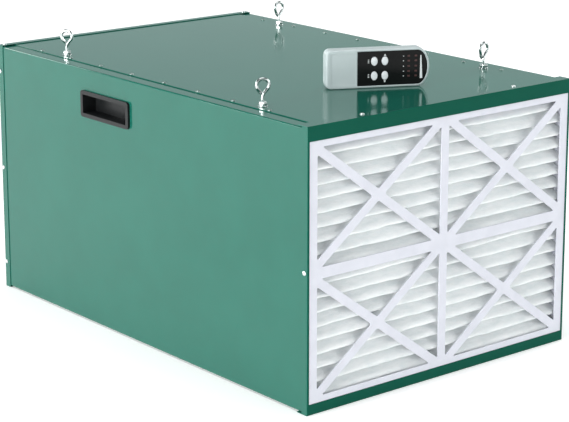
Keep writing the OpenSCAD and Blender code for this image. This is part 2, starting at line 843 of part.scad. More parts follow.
// Side plate with the rolled inlet mouth; s is -1 for the left and 1 for the right
module blower_side(s) {
    difference() {
        slab_x(s > 0 ? scroll_x : -scroll_x - scroll_t, scroll_t)
            polygon(scroll_outline(scroll_t, outlet_y));
        translate([0, shaft_y, shaft_h]) rod_x(s > 0 ? scroll_x - 1 : -scroll_x - scroll_t - 1,
            scroll_t + 2, inlet_mouth_r);
        if (s > 0) at_bracket_bolts() translate([0, 0, -15]) cylinder(h = 20, r = bolt_hole_r);
        at_feet_bolts() translate([0, 0, -15]) cylinder(h = 20, r = bolt_hole_r);
    }
    translate([s * scroll_x, shaft_y, shaft_h]) rotate([0, s * 90, 0])
        rotate_extrude($fn = 96) polygon([
            [inlet_mouth_r - eps, scroll_t], [inlet_mouth_r + 3, scroll_t],
            [inlet_mouth_r + 3, 0], [inlet_mouth_r - 1, 0],
            [inlet_r + 1.5, -scroll_x + wheel_w / 2 + wheel_end_gap],
            [inlet_r, -scroll_x + wheel_w / 2 + wheel_end_gap]]);
}
module blower_side_left() { color(galvanised) blower_side(-1); }
module blower_side_right() { color(galvanised) blower_side(1); }

module blower_wheel() {
    blade_r = wheel_r - blade_d;
    color(galvanised) translate([0, shaft_y, shaft_h]) difference() {
        union() {
            for (x = [-wheel_w / 2, wheel_w / 2 - disc_t]) difference() {
                rod_x(x, disc_t, wheel_r);
                rod_x(x - 1, disc_t + 2, blade_r);
            }
            rod_x(-disc_t / 2, disc_t, wheel_r - 1);
            rod_x(-hub_len / 2, hub_len, hub_outer_r);
            for (i = [0:blade_count - 1]) rotate([i * 360 / blade_count, 0, 0])
                translate([-wheel_w / 2 + eps, 0, (wheel_r + blade_r) / 2]) rotate([28, 0, 0])
                    translate([0, -0.6, -blade_d / 2 * 0.92])
                        cube([wheel_w - 2 * eps, 1.2, blade_d * 0.92]);
        }
        rod_x(-hub_len, 2 * hub_len, shaft_r);
    }
}

// Angle brackets that hold the scroll on the bottom panel
module blower_feet() {
    color(galvanised) difference() {
        for (y = feet_ys) for (s = [-1, 1]) {
            x = scroll_x + scroll_t;
            block([s > 0 ? x : -x - bracket_t, y - bracket_w / 2, 2 * sheet_t],
                [bracket_t, bracket_w, bracket_h]);
            block([s > 0 ? x : -x - bracket_foot, y - bracket_w / 2, 2 * sheet_t],
                [bracket_foot, bracket_w, bracket_t]);
        }
        at_feet_bolts() translate([0, 0, -15]) cylinder(h = 20, r = bolt_hole_r);
    }
}

module blower_bolts() {
    color(zinc) {
        at_feet_bolts() bolt(bracket_t + scroll_t + 4);
        at_bracket_bolts() bolt(arm_t + bush_t + scroll_t + 4);
    }
}

// ---------- motor ----------

module at_motor(x) {
    translate([x, shaft_y, shaft_h]) children();
}
module motor_shell() {
    color(black) at_motor(motor_x0) difference() {
        rod_x(0, motor_l, motor_r);
        rod_x(-1, motor_l + 2, motor_r - shell_t);
    }
}
// End bells with the bearing seats
module motor_end_bells() {
    color(galvanised) for (e = [0, 1]) at_motor(e == 0 ? motor_x0 : motor_x1)
        mirror([e, 0, 0]) difference() {
            union() {
                rod_x(-bell_t, bell_t, motor_r);
                rod_x(-eps, 4, motor_r - shell_t - 0.1);
                rod_x(-bell_t, bell_t + bearing_w + 2, bearing_r + 4);
            }
            rod_x(1, bearing_w + 4, bearing_r + 0.05);
            rod_x(-bell_t - 1, bell_t + 4, shaft_r + 1);
        }
}
module motor_bearings() {
    color(zinc) for (x = [motor_x0 + 1.2, motor_x1 - 1.2 - bearing_w])
        at_motor(x) difference() {
            rod_x(0, bearing_w, bearing_r);
            rod_x(-1, bearing_w + 2, shaft_r);
        }
}
module motor_shaft() {
    x0 = -hub_len / 2 - 4;
    color(zinc) at_motor(0) rod_x(x0, motor_x1 + 1 - x0, shaft_r - shaft_gap);
}
module motor_rotor() {
    color(galvanised) at_motor((motor_x0 + motor_x1 - stator_l) / 2) difference() {
        rod_x(0, stator_l, rotor_r);
        rod_x(-1, stator_l + 2, shaft_r);
    }
}
// Stator core with a ring of windings at each end
module motor_stator() {
    core_r = motor_r - shell_t - 0.1;
    x0 = (motor_x0 + motor_x1 - stator_l) / 2;
    color([0.55, 0.33, 0.16]) {
        at_motor(x0) difference() {
            rod_x(0, stator_l, core_r);
            rod_x(-1, stator_l + 2, rotor_r + air_gap);
        }
        for (x = [x0 - winding_l, x0 + stator_l]) at_motor(x) difference() {
            rod_x(0, winding_l, core_r - 6);
            rod_x(-1, winding_l + 2, rotor_r + 5);
        }
    }
}
// Belly band round the motor with three arms to the side plate
module motor_bracket() {
    plate = scroll_x + scroll_t + bush_t;
    color(galvanised) difference() {
        union() {
            at_motor(motor_band_x - band_w / 2) difference() {
                rod_x(0, band_w, motor_r + 0.1 + band_t);
                rod_x(-1, band_w + 2, motor_r + 0.1);
            }
            for (a = arm_angles) at_motor(0) rotate([a, 0, 0]) {
                block([motor_band_x - arm_t / 2, motor_r + band_t - 0.5, -arm_w / 2],
                    [arm_t, arm_r - motor_r - band_t + 0.5 - foot_l / 2 + arm_t, arm_w]);
                block([plate, arm_r - foot_l / 2, -arm_w / 2],
                    [motor_band_x - plate + arm_t / 2, arm_t, arm_w]);
                block([plate, arm_r - foot_l / 2, -arm_w / 2], [arm_t, foot_l, arm_w]);
            }
        }
        at_bracket_bolts() translate([0, 0, -15]) cylinder(h = 15.1, r = bolt_hole_r);
    }
}
module motor_bushes() {
    color(black) at_bracket_bolts() translate([0, 0, -arm_t - bush_t]) difference() {
        cylinder(h = bush_t, r = foot_l / 2 - 1);
        translate([0, 0, -1]) cylinder(h = bush_t + 2, r = bolt_hole_r);
    }
}

// ---------- electrical pieces ----------

module run_capacitor() {
    color([0.75, 0.76, 0.78]) translate([cap_x, cap_y, 2 * sheet_t + sheet_t + cap_r]) {
        rod_y(-cap_l / 2, cap_l, cap_r);
        for (x = [-7, 7]) translate([x, 0, 0]) rod_y(cap_l / 2 - eps, 9, 1.6);
    }
}
module capacitor_clamp() {
    w = 14;
    z = 2 * sheet_t + sheet_t + cap_r;
    color(galvanised) difference() {
        union() {
            translate([cap_x, cap_y, z]) rod_y(-w / 2, w, cap_r + 1.3);
            block([cap_x + cap_r + 0.05, cap_y - w / 2, 2 * sheet_t], [1.3, w, cap_r + sheet_t]);
            block([cap_x + cap_r + 0.05, cap_y - w / 2, 2 * sheet_t], [15, w, 1.3]);
        }
        translate([cap_x, cap_y, z]) rod_y(-w / 2 - 1, w + 2, cap_r + 0.05);
        block([cap_x - 2 * cap_r, cap_y - w, floor_top - 10], [3 * cap_r, 2 * w, 10]);
    }
}

module control_box() {
    x0 = control_x - control_w / 2 + 2;
    z0 = control_z - control_h / 2 - 4;
    w = control_w - 4;
    h = control_h + 8;
    y0 = rear_y - sheet_t - 0.05 - box_d;
    color(galvanised) difference() {
        block([x0, y0, z0], [w, box_d, h]);
        block([x0 + box_t, y0 + box_t, z0 + box_t], [w - 2 * box_t, box_d, h - 2 * box_t]);
        translate([x0 + w / 2, lead_y, lead_z]) rod_x(0, w, lead_r + 0.5);
        translate([control_x, lead_y, z0 - 5]) cylinder(h = 10, r = lead_r + 0.5);
    }
}
module control_board() {
    color([0.05, 0.30, 0.16]) {
        block([control_x - control_w / 2 + 3.2, board_y - board_t, control_z - control_h / 2 + 2],
            [control_w - 6.4, board_t, control_h - 4]);
    }
}
module control_panel() {
    color(black) difference() {
        slab_y(rear_y, control_t) translate([control_x, control_z])
            polygon(round_rect(control_w, control_h, 5));
        for (i = [-1:1]) translate([control_x + i * button_pitch, 0, button_z])
            rod_y(rear_y - 1, control_t + 2, button_r + slip);
        for (i = [0:lens_count - 1]) at_lens(i) rod_y(rear_y - 1, control_t + 2, lens_r + 0.05);
        translate([receiver_x, 0, lens_z]) rod_y(rear_y - 1, control_t + 2, receiver_r + 0.05);
        at_rear_screws() screw_hole();
    }
}
module at_lens(i) {
    translate([control_x - 44 + i * lens_pitch, 0, lens_z]) children();
}
module indicator_lenses() {
    color([0.75, 0.12, 0.10]) for (i = [0:lens_count - 1]) at_lens(i)
        rod_y(rear_y - sheet_t - 2, control_t + sheet_t + 2.4, lens_r);
}
module receiver_lens() {
    color([0.20, 0.03, 0.04]) translate([receiver_x, 0, lens_z])
        rod_y(rear_y - sheet_t - 2, control_t + sheet_t + 2.6, receiver_r);
}
// Push button: cap, retaining flange behind the panel, and a stem towards its switch
module push_button(i) {
    translate([control_x + i * button_pitch, 0, button_z]) {
        rod_y(rear_y - sheet_t - 1, control_t + sheet_t + 1 + button_proud, button_r);
        rod_y(rear_y - slip - 1.2, 1.2, button_flange_r);
        rod_y(board_y + button_travel + 0.4, -board_y + rear_y - button_travel - 1.5, 2);
    }
}
module power_button() { color([0.80, 0.82, 0.84]) push_button(-1); }
module speed_button() { color([0.80, 0.82, 0.84]) push_button(0); }
module timer_button() { color([0.80, 0.82, 0.84]) push_button(1); }

// Gland with its clamping collar outside and its lock nut inside
module cord_gland() {
    color(black) translate([control_x, rear_y, gland_z]) difference() {
        union() {
            rod_y(-20, 20 + eps, gland_hole_r);
            rod_y(0, 4, gland_r);
            rod_y(4 - eps, gland_out - 4 + eps, gland_r - 2.5);
            rod_y(-sheet_t - 4.5, 4.4, gland_r);
        }
        rod_y(-21, gland_out + 22, gland_bore_r);
    }
}

// A quarter bend of lead in the XY plane about the origin, from +X to +Y
module bend() {
    rotate_extrude(angle = 90, $fn = 64) translate([lead_bend, 0]) circle(r = lead_r, $fn = 24);
}
// Leads inside the cabinet: control box to motor, and gland to control box
module wiring() {
    box_x = control_x + control_w / 2 - 2;
    far_x = motor_band_x + 24;
    shell_y = shaft_y + sqrt(pow(motor_r, 2) - pow(lead_z + lead_r - shaft_h, 2)) + seat;
    box_z = control_z - control_h / 2 - 4;
    color([0.15, 0.15, 0.16]) {
        translate([0, lead_y, lead_z]) rod_x(box_x - 10, far_x - lead_bend - box_x + 10, lead_r);
        translate([far_x - lead_bend, lead_y - lead_bend, lead_z]) bend();
        translate([far_x, 0, lead_z]) rod_y(shell_y, lead_y - lead_bend - shell_y, lead_r);
        translate([control_x, lead_y, gland_z + lead_r])
            cylinder(h = box_z + 6 - gland_z - lead_r, r = lead_r);
    }
}

// ---------- remote control ----------

module at_remote() {
    translate([remote_x, front_y + remote_from_front, remote_base])
        rotate([0, 0, remote_turn]) children();
}
module at_key(x, z) {
    translate([x, 0, remote_h / 2 + z]) children();
}
module key_shape(grow) {
    polygon(ellipse(key_w + 2 * grow, key_h + 2 * grow));
}
module at_keys() {
    for (x = [key_x1, key_x2]) for (z = [-key_rise, key_rise]) at_key(x, z) children();
}
module remote_front() {
    color(remote_grey) at_remote() difference() {
        slab_y(remote_face, remote_split - remote_face) polygon(remote_outline(0));
        slab_y(remote_face + remote_wall, 20) polygon(remote_outline(remote_wall));
        slab_y(remote_face - 1, 1 + panel_pocket) polygon(panel_outline(-0.1));
        at_keys() slab_y(remote_face - 1, 10) key_shape(slip);
    }
}
module remote_back() {
    color(remote_grey) at_remote() difference() {
        slab_y(remote_split + 0.05, remote_d / 2 - remote_split - 0.05) polygon(remote_outline(0));
        slab_y(remote_split - 1, remote_d / 2 - remote_split + 1 - door_t - remote_wall)
            polygon(remote_outline(remote_wall));
        block([-remote_l / 2 - 1, remote_d / 2 - door_t - 0.1, (remote_h - door_h) / 2 - 0.1],
            [door_l + 1 + 0.3, 5, door_h + 0.2]);
        block([-remote_l / 2 + 5, 0, (remote_h - bay_h) / 2], [bay_l, 20, bay_h]);
        translate([0, 3, remote_h / 2]) rod_x(remote_l / 2 - 8, 20, remote_lens_r + 0.1);
    }
}
module remote_battery_door() {
    color(remote_grey) at_remote()
        block([-remote_l / 2, remote_d / 2 - door_t, (remote_h - door_h) / 2],
            [door_l, door_t, door_h]);
}
module remote_panel() {
    color(black) at_remote() difference() {
        slab_y(remote_face, panel_pocket - 0.02) polygon(panel_outline(0));
        at_keys() slab_y(remote_face - 1, 10) key_shape(slip);
    }
}
module remote_key(x, z) {
    at_remote() at_key(x, z) {
        slab_y(remote_face - key_proud, remote_wall + key_proud + slip + 0.1) key_shape(0);
        slab_y(remote_face + remote_wall + slip, key_flange_t) key_shape(key_flange);
    }
}
module remote_key_power() { color(zinc) remote_key(key_x1, key_rise); }
module remote_key_timer() { color(zinc) remote_key(key_x1, -key_rise); }
module remote_key_faster() { color(zinc) remote_key(key_x2, key_rise); }
module remote_key_slower() { color(zinc) remote_key(key_x2, -key_rise); }
module remote_board() {
    color([0.05, 0.30, 0.16]) at_remote() slab_y(remote_split - remote_board_t, remote_board_t)
        polygon(remote_outline(remote_wall + 0.3));
}
module remote_lens() {
    color([0.20, 0.03, 0.04]) at_remote() translate([0, 3, remote_h / 2])
        rod_x(remote_l / 2 - 7, 7.6, remote_lens_r);
}
module remote_batteries() {
    color([0.20, 0.22, 0.26]) at_remote() for (z = [-battery_pitch / 2, battery_pitch / 2])
        translate([-remote_l / 2 + 5 + (bay_l - battery_l) / 2,
                remote_d / 2 - door_t - 0.3 - battery_r, remote_h / 2 + z])
            rod_x(0, battery_l, battery_r);
}

side_panel_left();
side_panel_right();
top_panel();
bottom_panel();
front_frame();
rear_cover();
exhaust_grille();
rear_screws();
top_screws();
front_frame_screws();
cover_screws();
eye_bolts();
eye_bolt_nuts();
eye_bolt_washers();
eye_bolt_inner_nuts();
handle_left();
handle_right();
outer_filter_frame();
outer_filter_media();
outer_filter_mesh();
pocket_filter_frame();
pocket_filter_pockets();
blower_scroll();
blower_side_left();
blower_side_right();
blower_wheel();
blower_feet();
blower_bolts();
motor_shell();
motor_end_bells();
motor_shaft();
motor_bearings();
motor_rotor();
motor_stator();
motor_bracket();
motor_bushes();
run_capacitor();
capacitor_clamp();
control_box();
control_board();
control_panel();
power_button();
speed_button();
timer_button();
indicator_lenses();
receiver_lens();
cord_gland();
wiring();
remote_front();
remote_back();
remote_panel();
remote_key_power();
remote_key_timer();
remote_key_faster();
remote_key_slower();
remote_board();
remote_lens();
remote_batteries();
remote_battery_door();
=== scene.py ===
from math import cos, hypot, pi, radians, sin

import bmesh
import bpy
from mathutils import Matrix, Vector, noise


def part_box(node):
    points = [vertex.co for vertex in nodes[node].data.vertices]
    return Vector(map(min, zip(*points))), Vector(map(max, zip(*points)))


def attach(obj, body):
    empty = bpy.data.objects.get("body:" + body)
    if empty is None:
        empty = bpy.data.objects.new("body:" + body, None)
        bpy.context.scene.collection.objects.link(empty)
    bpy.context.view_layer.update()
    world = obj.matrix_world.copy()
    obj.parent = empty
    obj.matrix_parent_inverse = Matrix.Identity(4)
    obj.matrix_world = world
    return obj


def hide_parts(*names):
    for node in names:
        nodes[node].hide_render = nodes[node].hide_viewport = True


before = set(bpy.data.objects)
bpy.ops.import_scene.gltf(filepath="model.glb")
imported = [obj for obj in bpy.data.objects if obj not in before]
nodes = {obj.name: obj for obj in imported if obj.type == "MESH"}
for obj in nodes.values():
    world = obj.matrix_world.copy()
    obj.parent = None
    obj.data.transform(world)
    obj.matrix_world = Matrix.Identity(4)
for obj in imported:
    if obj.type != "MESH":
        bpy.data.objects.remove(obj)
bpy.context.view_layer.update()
scene = bpy.context.scene
scene.view_settings.view_transform = "Standard"


# ---------------------------------------------------------------- viewpoint
# The collector is looked at from its front left, a little above the top
# panel, with a long lens so that the long cabinet keeps its proportions.

azimuth = radians(-39.45)
elevation = radians(13.66)
aim = Vector((0.0254, -0.006, 0.2535))
distance = 3.1229
forward = Vector((-sin(azimuth) * cos(elevation), cos(azimuth) * cos(elevation), -sin(elevation)))
camera = bpy.data.objects.new("camera", bpy.data.cameras.new("camera"))
camera.data.lens = 125.8
camera.data.sensor_width = 36.0
camera.data.shift_y = -0.1
camera.data.clip_start = 0.05
camera.location = aim - distance * forward
camera.rotation_euler = forward.to_track_quat("-Z", "Y").to_euler()
scene.collection.objects.link(camera)
scene.camera = camera


# ---------------------------------------------------------------- studio
# A pale, smooth studio floor that runs far past the object, a room that is
# brightest low down, and soft panels that light the side, face and rear.

def new_finish(name, colour, roughness, metallic=0.0):
    """A material of one colour, ready for its grain and its variation."""
    finish = bpy.data.materials.new(name)
    finish.use_nodes = True
    surface = finish.node_tree.nodes["Principled BSDF"]
    surface.inputs["Base Color"].default_value = (*colour, 1.0)
    surface.inputs["Roughness"].default_value = roughness
    surface.inputs["Metallic"].default_value = metallic
    return finish, finish.node_tree, surface


def mottle(tree, scale, detail=3.0, stretch=(1.0, 1.0, 1.0), turn=(0.0, 0.0, 0.0)):
    """Soft random variation fixed to the piece, with scale in spots per metre."""
    coordinates = tree.nodes.new("ShaderNodeTexCoord")
    mapping = tree.nodes.new("ShaderNodeMapping")
    mapping.inputs["Scale"].default_value = stretch
    mapping.inputs["Rotation"].default_value = turn
    pattern = tree.nodes.new("ShaderNodeTexNoise")
    pattern.inputs["Scale"].default_value = scale
    pattern.inputs["Detail"].default_value = detail
    tree.links.new(coordinates.outputs["Object"], mapping.inputs["Vector"])
    tree.links.new(mapping.outputs["Vector"], pattern.inputs["Vector"])
    return pattern.outputs["Fac"]


def tint(tree, surface, pattern, low_colour, high_colour, low=0.35, high=0.65):
    """Lets the colour wander between two shades with the pattern."""
    ramp = tree.nodes.new("ShaderNodeValToRGB")
    ramp.color_ramp.elements[0].position = low
    ramp.color_ramp.elements[0].color = (*low_colour, 1.0)
    ramp.color_ramp.elements[1].position = high
    ramp.color_ramp.elements[1].color = (*high_colour, 1.0)
    tree.links.new(pattern, ramp.inputs["Fac"])
    tree.links.new(ramp.outputs["Color"], surface.inputs["Base Color"])


def vary_roughness(tree, surface, pattern, smooth, rough):
    """Makes some spots glossier than others."""
    spread = tree.nodes.new("ShaderNodeMapRange")
    spread.inputs["From Min"].default_value = 0.3
    spread.inputs["From Max"].default_value = 0.7
    spread.inputs["To Min"].default_value = smooth
    spread.inputs["To Max"].default_value = rough
    tree.links.new(pattern, spread.inputs["Value"])
    tree.links.new(spread.outputs["Result"], surface.inputs["Roughness"])


def grain(tree, surface, pattern, depth, strength=1.0):
    """Raises the pattern into a relief of the given depth in metres."""
    bump = tree.nodes.new("ShaderNodeBump")
    bump.inputs["Distance"].default_value = depth
    bump.inputs["Strength"].default_value = strength
    tree.links.new(pattern, bump.inputs["Height"])
    tree.links.new(bump.outputs["Normal"], surface.inputs["Normal"])


floor_paint, tree, surface = new_finish("floor_paint", (0.86, 0.86, 0.86), 0.6)
tint(tree, surface, mottle(tree, 3.0), (0.85, 0.85, 0.85), (0.87, 0.87, 0.87))
surface.inputs["Emission Color"].default_value = (1.0, 1.0, 1.0, 1.0)
surface.inputs["Emission Strength"].default_value = 0.28
shape = bmesh.new()
floor_reach = 12.0
bmesh.ops.create_grid(shape, x_segments=4, y_segments=4, size=floor_reach)
floor_mesh = bpy.data.meshes.new("floor")
shape.to_mesh(floor_mesh)
shape.free()
floor_mesh.materials.append(floor_paint)
floor = bpy.data.objects.new("floor", floor_mesh)
scene.collection.objects.link(floor)

room = bpy.data.worlds.new("room")
room.use_nodes = True
air = room.node_tree
direction = air.nodes.new("ShaderNodeTexCoord")
split = air.nodes.new("ShaderNodeSeparateXYZ")
walls = air.nodes.new("ShaderNodeValToRGB")
walls.color_ramp.elements[0].position = 0.09
walls.color_ramp.elements[0].color = (0.93, 0.95, 0.95, 1.0)
walls.color_ramp.elements[1].position = 0.42
walls.color_ramp.elements[1].color = (0.16, 0.165, 0.17, 1.0)
for height in (0.16, 0.27):
    walls.color_ramp.elements.new(height).color = (0.48, 0.60, 0.59, 1.0)
air.links.new(direction.outputs["Generated"], split.inputs["Vector"])
air.links.new(split.outputs["Z"], walls.inputs["Fac"])
air.links.new(walls.outputs["Color"], air.nodes["Background"].inputs["Color"])
scene.world = room


def soft_panel(name, place, looks_at, width, height, power):
    """A softbox: an oblong area light with an even, neutral glow."""
    lamp = bpy.data.lights.new(name, "AREA")
    lamp.shape = "RECTANGLE"
    lamp.size = width
    lamp.size_y = height
    lamp.energy = power
    holder = bpy.data.objects.new(name, lamp)
    holder.location = place
    holder.rotation_euler = (Vector(looks_at) - Vector(place)).to_track_quat("-Z", "Y").to_euler()
    scene.collection.objects.link(holder)


soft_panel("left_panel", (-3.6, -0.3, 0.9), (0.0, 0.0, 0.2), 2.2, 1.4, 134.0)
soft_panel("front_panel", (0.9, -4.0, 1.3), (0.0, -0.3, 0.2), 1.8, 1.4, 24.0)
soft_panel("right_panel", (3.3, -0.2, 1.6), (0.0, 0.0, 0.2), 2.2, 1.6, 60.0)
soft_panel("rear_panel", (-1.3, 3.9, 1.8), (0.0, 0.3, 0.2), 2.2, 1.6, 60.0)

ceiling_light = bpy.data.lights.new("ceiling_light", "SUN")
ceiling_light.energy = 1.5
ceiling_light.angle = radians(50.0)
ceiling = bpy.data.objects.new("ceiling_light", ceiling_light)
scene.collection.objects.link(ceiling)


# ---------------------------------------------------------------- painted sheets
# Two side panels with folded-in flanges and the top and bottom panels
# between them: 1.2 mm steel, folded and finished in smooth green enamel.

def add_piece(name, shape, finish, slot, body, *stands_for, smooth=30.0, flat_above=0.0):
    """Turns a finished shape into a piece that rides on a body, flat where its faces are wide."""
    mesh = bpy.data.meshes.new(name)
    bmesh.ops.dissolve_degenerate(shape, dist=3e-6, edges=shape.edges)
    shape.to_mesh(mesh)
    shape.free()
    mesh.materials.append(finish)
    mesh.polygons.foreach_set("material_index", [0] * len(mesh.polygons))
    if smooth:
        mesh.shade_smooth()
        mesh.set_sharp_from_angle(angle=radians(smooth))
        if flat_above:
            for face in mesh.polygons:
                face.use_smooth = face.area < flat_above
    piece = bpy.data.objects.new(name, mesh)
    scene.collection.objects.link(piece)
    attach(piece, body)
    if stands_for:
        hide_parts(*stands_for)
    return piece


def merged_copy(node):
    """A copy of a made part's mesh with its loose triangles joined up."""
    shape = bmesh.new()
    shape.from_mesh(nodes[node].data)
    bmesh.ops.remove_doubles(shape, verts=shape.verts, dist=2e-6)
    bmesh.ops.dissolve_limit(shape, angle_limit=radians(0.6), use_dissolve_boundaries=False,
                             verts=shape.verts, edges=shape.edges)
    return shape


def outer_edges(shape, sharper_than, longer_than):
    """The raised edges of a shape, sharp and long enough to be rounded."""
    return [edge for edge in shape.edges
            if len(edge.link_faces) == 2 and edge.calc_length() > longer_than
            and edge.calc_face_angle_signed(0.0) > radians(sharper_than)]


def round_edges(shape, edges, radius, steps):
    """Rounds the edges with a bevel."""
    bmesh.ops.bevel(shape, geom=edges, offset=radius, offset_type="OFFSET", affect="EDGES",
                    segments=steps, profile=0.5, material=-1, clamp_overlap=True)


fold_radius = 0.0016
rim_radius = 0.00025
wide_face = 0.0007


def fold_and_ease(node):
    """A sheet part with its folds bent to a radius and its cut rims eased."""
    shape = merged_copy(node)
    folds = [edge for edge in outer_edges(shape, 60.0, 0.1)
             if min(face.calc_area() for face in edge.link_faces) > 0.004 * edge.calc_length()]
    round_edges(shape, folds, fold_radius, 4)
    rims = outer_edges(shape, 60.0, 0.008)
    round_edges(shape, rims, rim_radius, 1)
    return shape


green_enamel, tree, surface = new_finish("green_enamel", (0.006, 0.108, 0.076), 0.14)
tint(tree, surface, mottle(tree, 14.0, 5.0), (0.0055, 0.104, 0.073), (0.0065, 0.112, 0.079))
vary_roughness(tree, surface, mottle(tree, 90.0, 4.0), 0.10, 0.15)
grain(tree, surface, mottle(tree, 900.0, 2.0), 0.0000025)

for node in ("side_panel_left", "side_panel_right", "top_panel", "bottom_panel"):
    add_piece(node + "_sheet", fold_and_ease(node), green_enamel, "green_paint", "case", node,
              flat_above=wide_face)


# ---------------------------------------------------------------- front frame and rear cover
# A folded collar closes the front round the filters, and a folded cover
# closes the rear. Both lap over the panels and are screwed to them. The
# collar's faces that look forward get a darker, less glossy copy of the
# green enamel: painted shade standing in for the dimmer light they reflect.

# A darker, less glossy copy of the green enamel for the collar's forward faces: painted shade.
front_face_shaded_enamel, tree, surface = new_finish("front_face_shaded_enamel", (0.004, 0.090, 0.058), 0.2)
tint(tree, surface, mottle(tree, 14.0, 5.0), (0.0037, 0.087, 0.056), (0.0043, 0.093, 0.060))
vary_roughness(tree, surface, mottle(tree, 90.0, 4.0), 0.16, 0.24)
grain(tree, surface, mottle(tree, 900.0, 2.0), 0.0000035)
surface.inputs["Specular IOR Level"].default_value = 0.05

collar = add_piece("front_frame_sheet", fold_and_ease("front_frame"), front_face_shaded_enamel,
                   "green_paint", "case", "front_frame", flat_above=wide_face)
collar.data.materials.append(green_enamel)
# Faces that look forward take the darker copy as painted shade; the rest keep the green enamel.
for face in collar.data.polygons:
    face.material_index = 0 if face.normal.y < -0.5 else 1
add_piece("rear_cover_sheet", fold_and_ease("rear_cover"), green_enamel, "green_paint", "case",
          "rear_cover", flat_above=wide_face)


# ---------------------------------------------------------------- screws
# Zinc-plated pan-head self-tapping screws along every lap: a low domed
# head on a plain shank, with its edges rounded. No driver recess is cut.

zinc_plate, tree, surface = new_finish("zinc_plate", (0.56, 0.60, 0.60), 0.12, 1.0)
tint(tree, surface, mottle(tree, 260.0, 3.0), (0.48, 0.53, 0.53), (0.64, 0.67, 0.66))
vary_roughness(tree, surface, mottle(tree, 900.0, 2.0), 0.08, 0.18)
grain(tree, surface, mottle(tree, 1500.0, 2.0), 0.000012)

satin_zinc, tree, surface = new_finish("satin_zinc", (0.80, 0.83, 0.83), 0.42, 1.0)
tint(tree, surface, mottle(tree, 500.0, 3.0), (0.72, 0.76, 0.76), (0.86, 0.88, 0.88))
vary_roughness(tree, surface, mottle(tree, 900.0, 2.0), 0.36, 0.5)

dull_zinc, tree, surface = new_finish("dull_zinc", (0.34, 0.42, 0.40), 0.45, 1.0)
tint(tree, surface, mottle(tree, 500.0, 3.0), (0.24, 0.33, 0.30), (0.42, 0.48, 0.47))
vary_roughness(tree, surface, mottle(tree, 900.0, 2.0), 0.38, 0.55)

for node, finish in (("top_screws", dull_zinc), ("front_frame_screws", satin_zinc),
                     ("cover_screws", satin_zinc), ("rear_screws", satin_zinc)):
    shape = merged_copy(node)
    round_edges(shape, outer_edges(shape, 50.0, 0.0002), 0.0004, 2)
    add_piece(node + "_heads", shape, finish, "zinc_plate", "case", node, smooth=40.0)


# ---------------------------------------------------------------- eye bolts
# Four lengths of zinc-plated wire, bent round to an open eye whose end
# comes back across the neck. Nuts clamp the panel, and the shank between
# them is drawn plain, without its thread.

def bent_wire(name, points, radius):
    """Bends a round wire along a run of points and returns it as a mesh shape."""
    run = bpy.data.curves.new(name, "CURVE")
    run.dimensions = "3D"
    run.bevel_depth = radius
    run.bevel_resolution = 5
    run.resolution_u = 6
    run.use_fill_caps = True
    spline = run.splines.new("BEZIER")
    spline.bezier_points.add(len(points) - 1)
    for knot, point in zip(spline.bezier_points, points):
        knot.co = point
        knot.handle_left_type = "AUTO"
        knot.handle_right_type = "AUTO"
    holder = bpy.data.objects.new(name, run)
    mesh = bpy.data.meshes.new_from_object(holder)
    bpy.data.objects.remove(holder)
    bpy.data.curves.remove(run)
    shape = bmesh.new()
    shape.from_mesh(mesh)
    bpy.data.meshes.remove(mesh)
    bmesh.ops.remove_doubles(shape, verts=shape.verts, dist=1e-6)
    bmesh.ops.recalc_face_normals(shape, faces=shape.faces)
    return shape


def place(shape, middle, turn):
    """Turns a finished shape about the vertical and sets it down."""
    bmesh.ops.rotate(shape, verts=shape.verts, cent=(0.0, 0.0, 0.0),
                     matrix=Matrix.Rotation(radians(turn), 3, "Z"))
    bmesh.ops.translate(shape, verts=shape.verts, vec=middle)


def join(shape, other):
    """Adds one shape to another."""
    mesh = bpy.data.meshes.new("joined")
    other.to_mesh(mesh)
    other.free()
    shape.from_mesh(mesh)
    bpy.data.meshes.remove(mesh)


eye_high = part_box("eye_bolts")[1]
panel_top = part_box("top_panel")[1].z
eye_x = 0.215
eye_radius = 0.0088
wire_radius = 0.0023
eye_centre = eye_high.z - eye_radius - wire_radius
drop = eye_centre - panel_top
eyes = bmesh.new()
for x, y, turn in ((-eye_x, -0.251, -26.0), (eye_x, -0.251, 6.0),
                   (-eye_x, 0.239, -58.0), (eye_x, 0.239, 1.0)):
    points = [(0.0, 0.0, -drop - 0.0158), (0.0, 0.0, -drop + 0.002), (0.0, 0.0, -0.0150)]
    points += [(eye_radius * cos(radians(a)), 0.0, eye_radius * sin(radians(a)))
               for a in range(-56, 209, 24)]
    points += [(-0.0048, 0.0016, -0.0088), (-0.0012, 0.0042, -0.0124), (0.0018, 0.0047, -0.0152)]
    wire = bent_wire("eye_wire", points, wire_radius)
    place(wire, (x, y, eye_centre), turn)
    join(eyes, wire)
add_piece("eye_bolt_wires", eyes, zinc_plate, "zinc_plate", "case", "eye_bolts", smooth=60.0)

for node in ("eye_bolt_nuts", "eye_bolt_washers", "eye_bolt_inner_nuts"):
    shape = merged_copy(node)
    round_edges(shape, outer_edges(shape, 50.0, 0.0003), 0.0004, 2)
    add_piece(node + "_plated", shape, zinc_plate, "zinc_plate", "case", node)


# ---------------------------------------------------------------- handles
# Recessed pulls moulded in black polypropylene, pushed into openings in
# the side panels: a raised oblong rim round a pocket for the fingers.

black_plastic, tree, surface = new_finish("black_plastic", (0.006, 0.007, 0.0075), 0.36)
tint(tree, surface, mottle(tree, 120.0), (0.005, 0.006, 0.0065), (0.008, 0.009, 0.0095))
surface.inputs["Specular IOR Level"].default_value = 0.36
vary_roughness(tree, surface, mottle(tree, 300.0), 0.3, 0.42)
grain(tree, surface, mottle(tree, 1800.0, 1.0), 0.00003)

for node in ("handle_left", "handle_right"):
    shape = merged_copy(node)
    round_edges(shape, outer_edges(shape, 35.0, 0.0008), 0.0010, 3)
    add_piece(node + "_moulding", shape, black_plastic, "black_plastic", "case", node)


# ---------------------------------------------------------------- outer filter card
# The frame of the disposable filter: white-coated card, die-cut into a
# rectangle with crossing bars and folded back round the pleats.

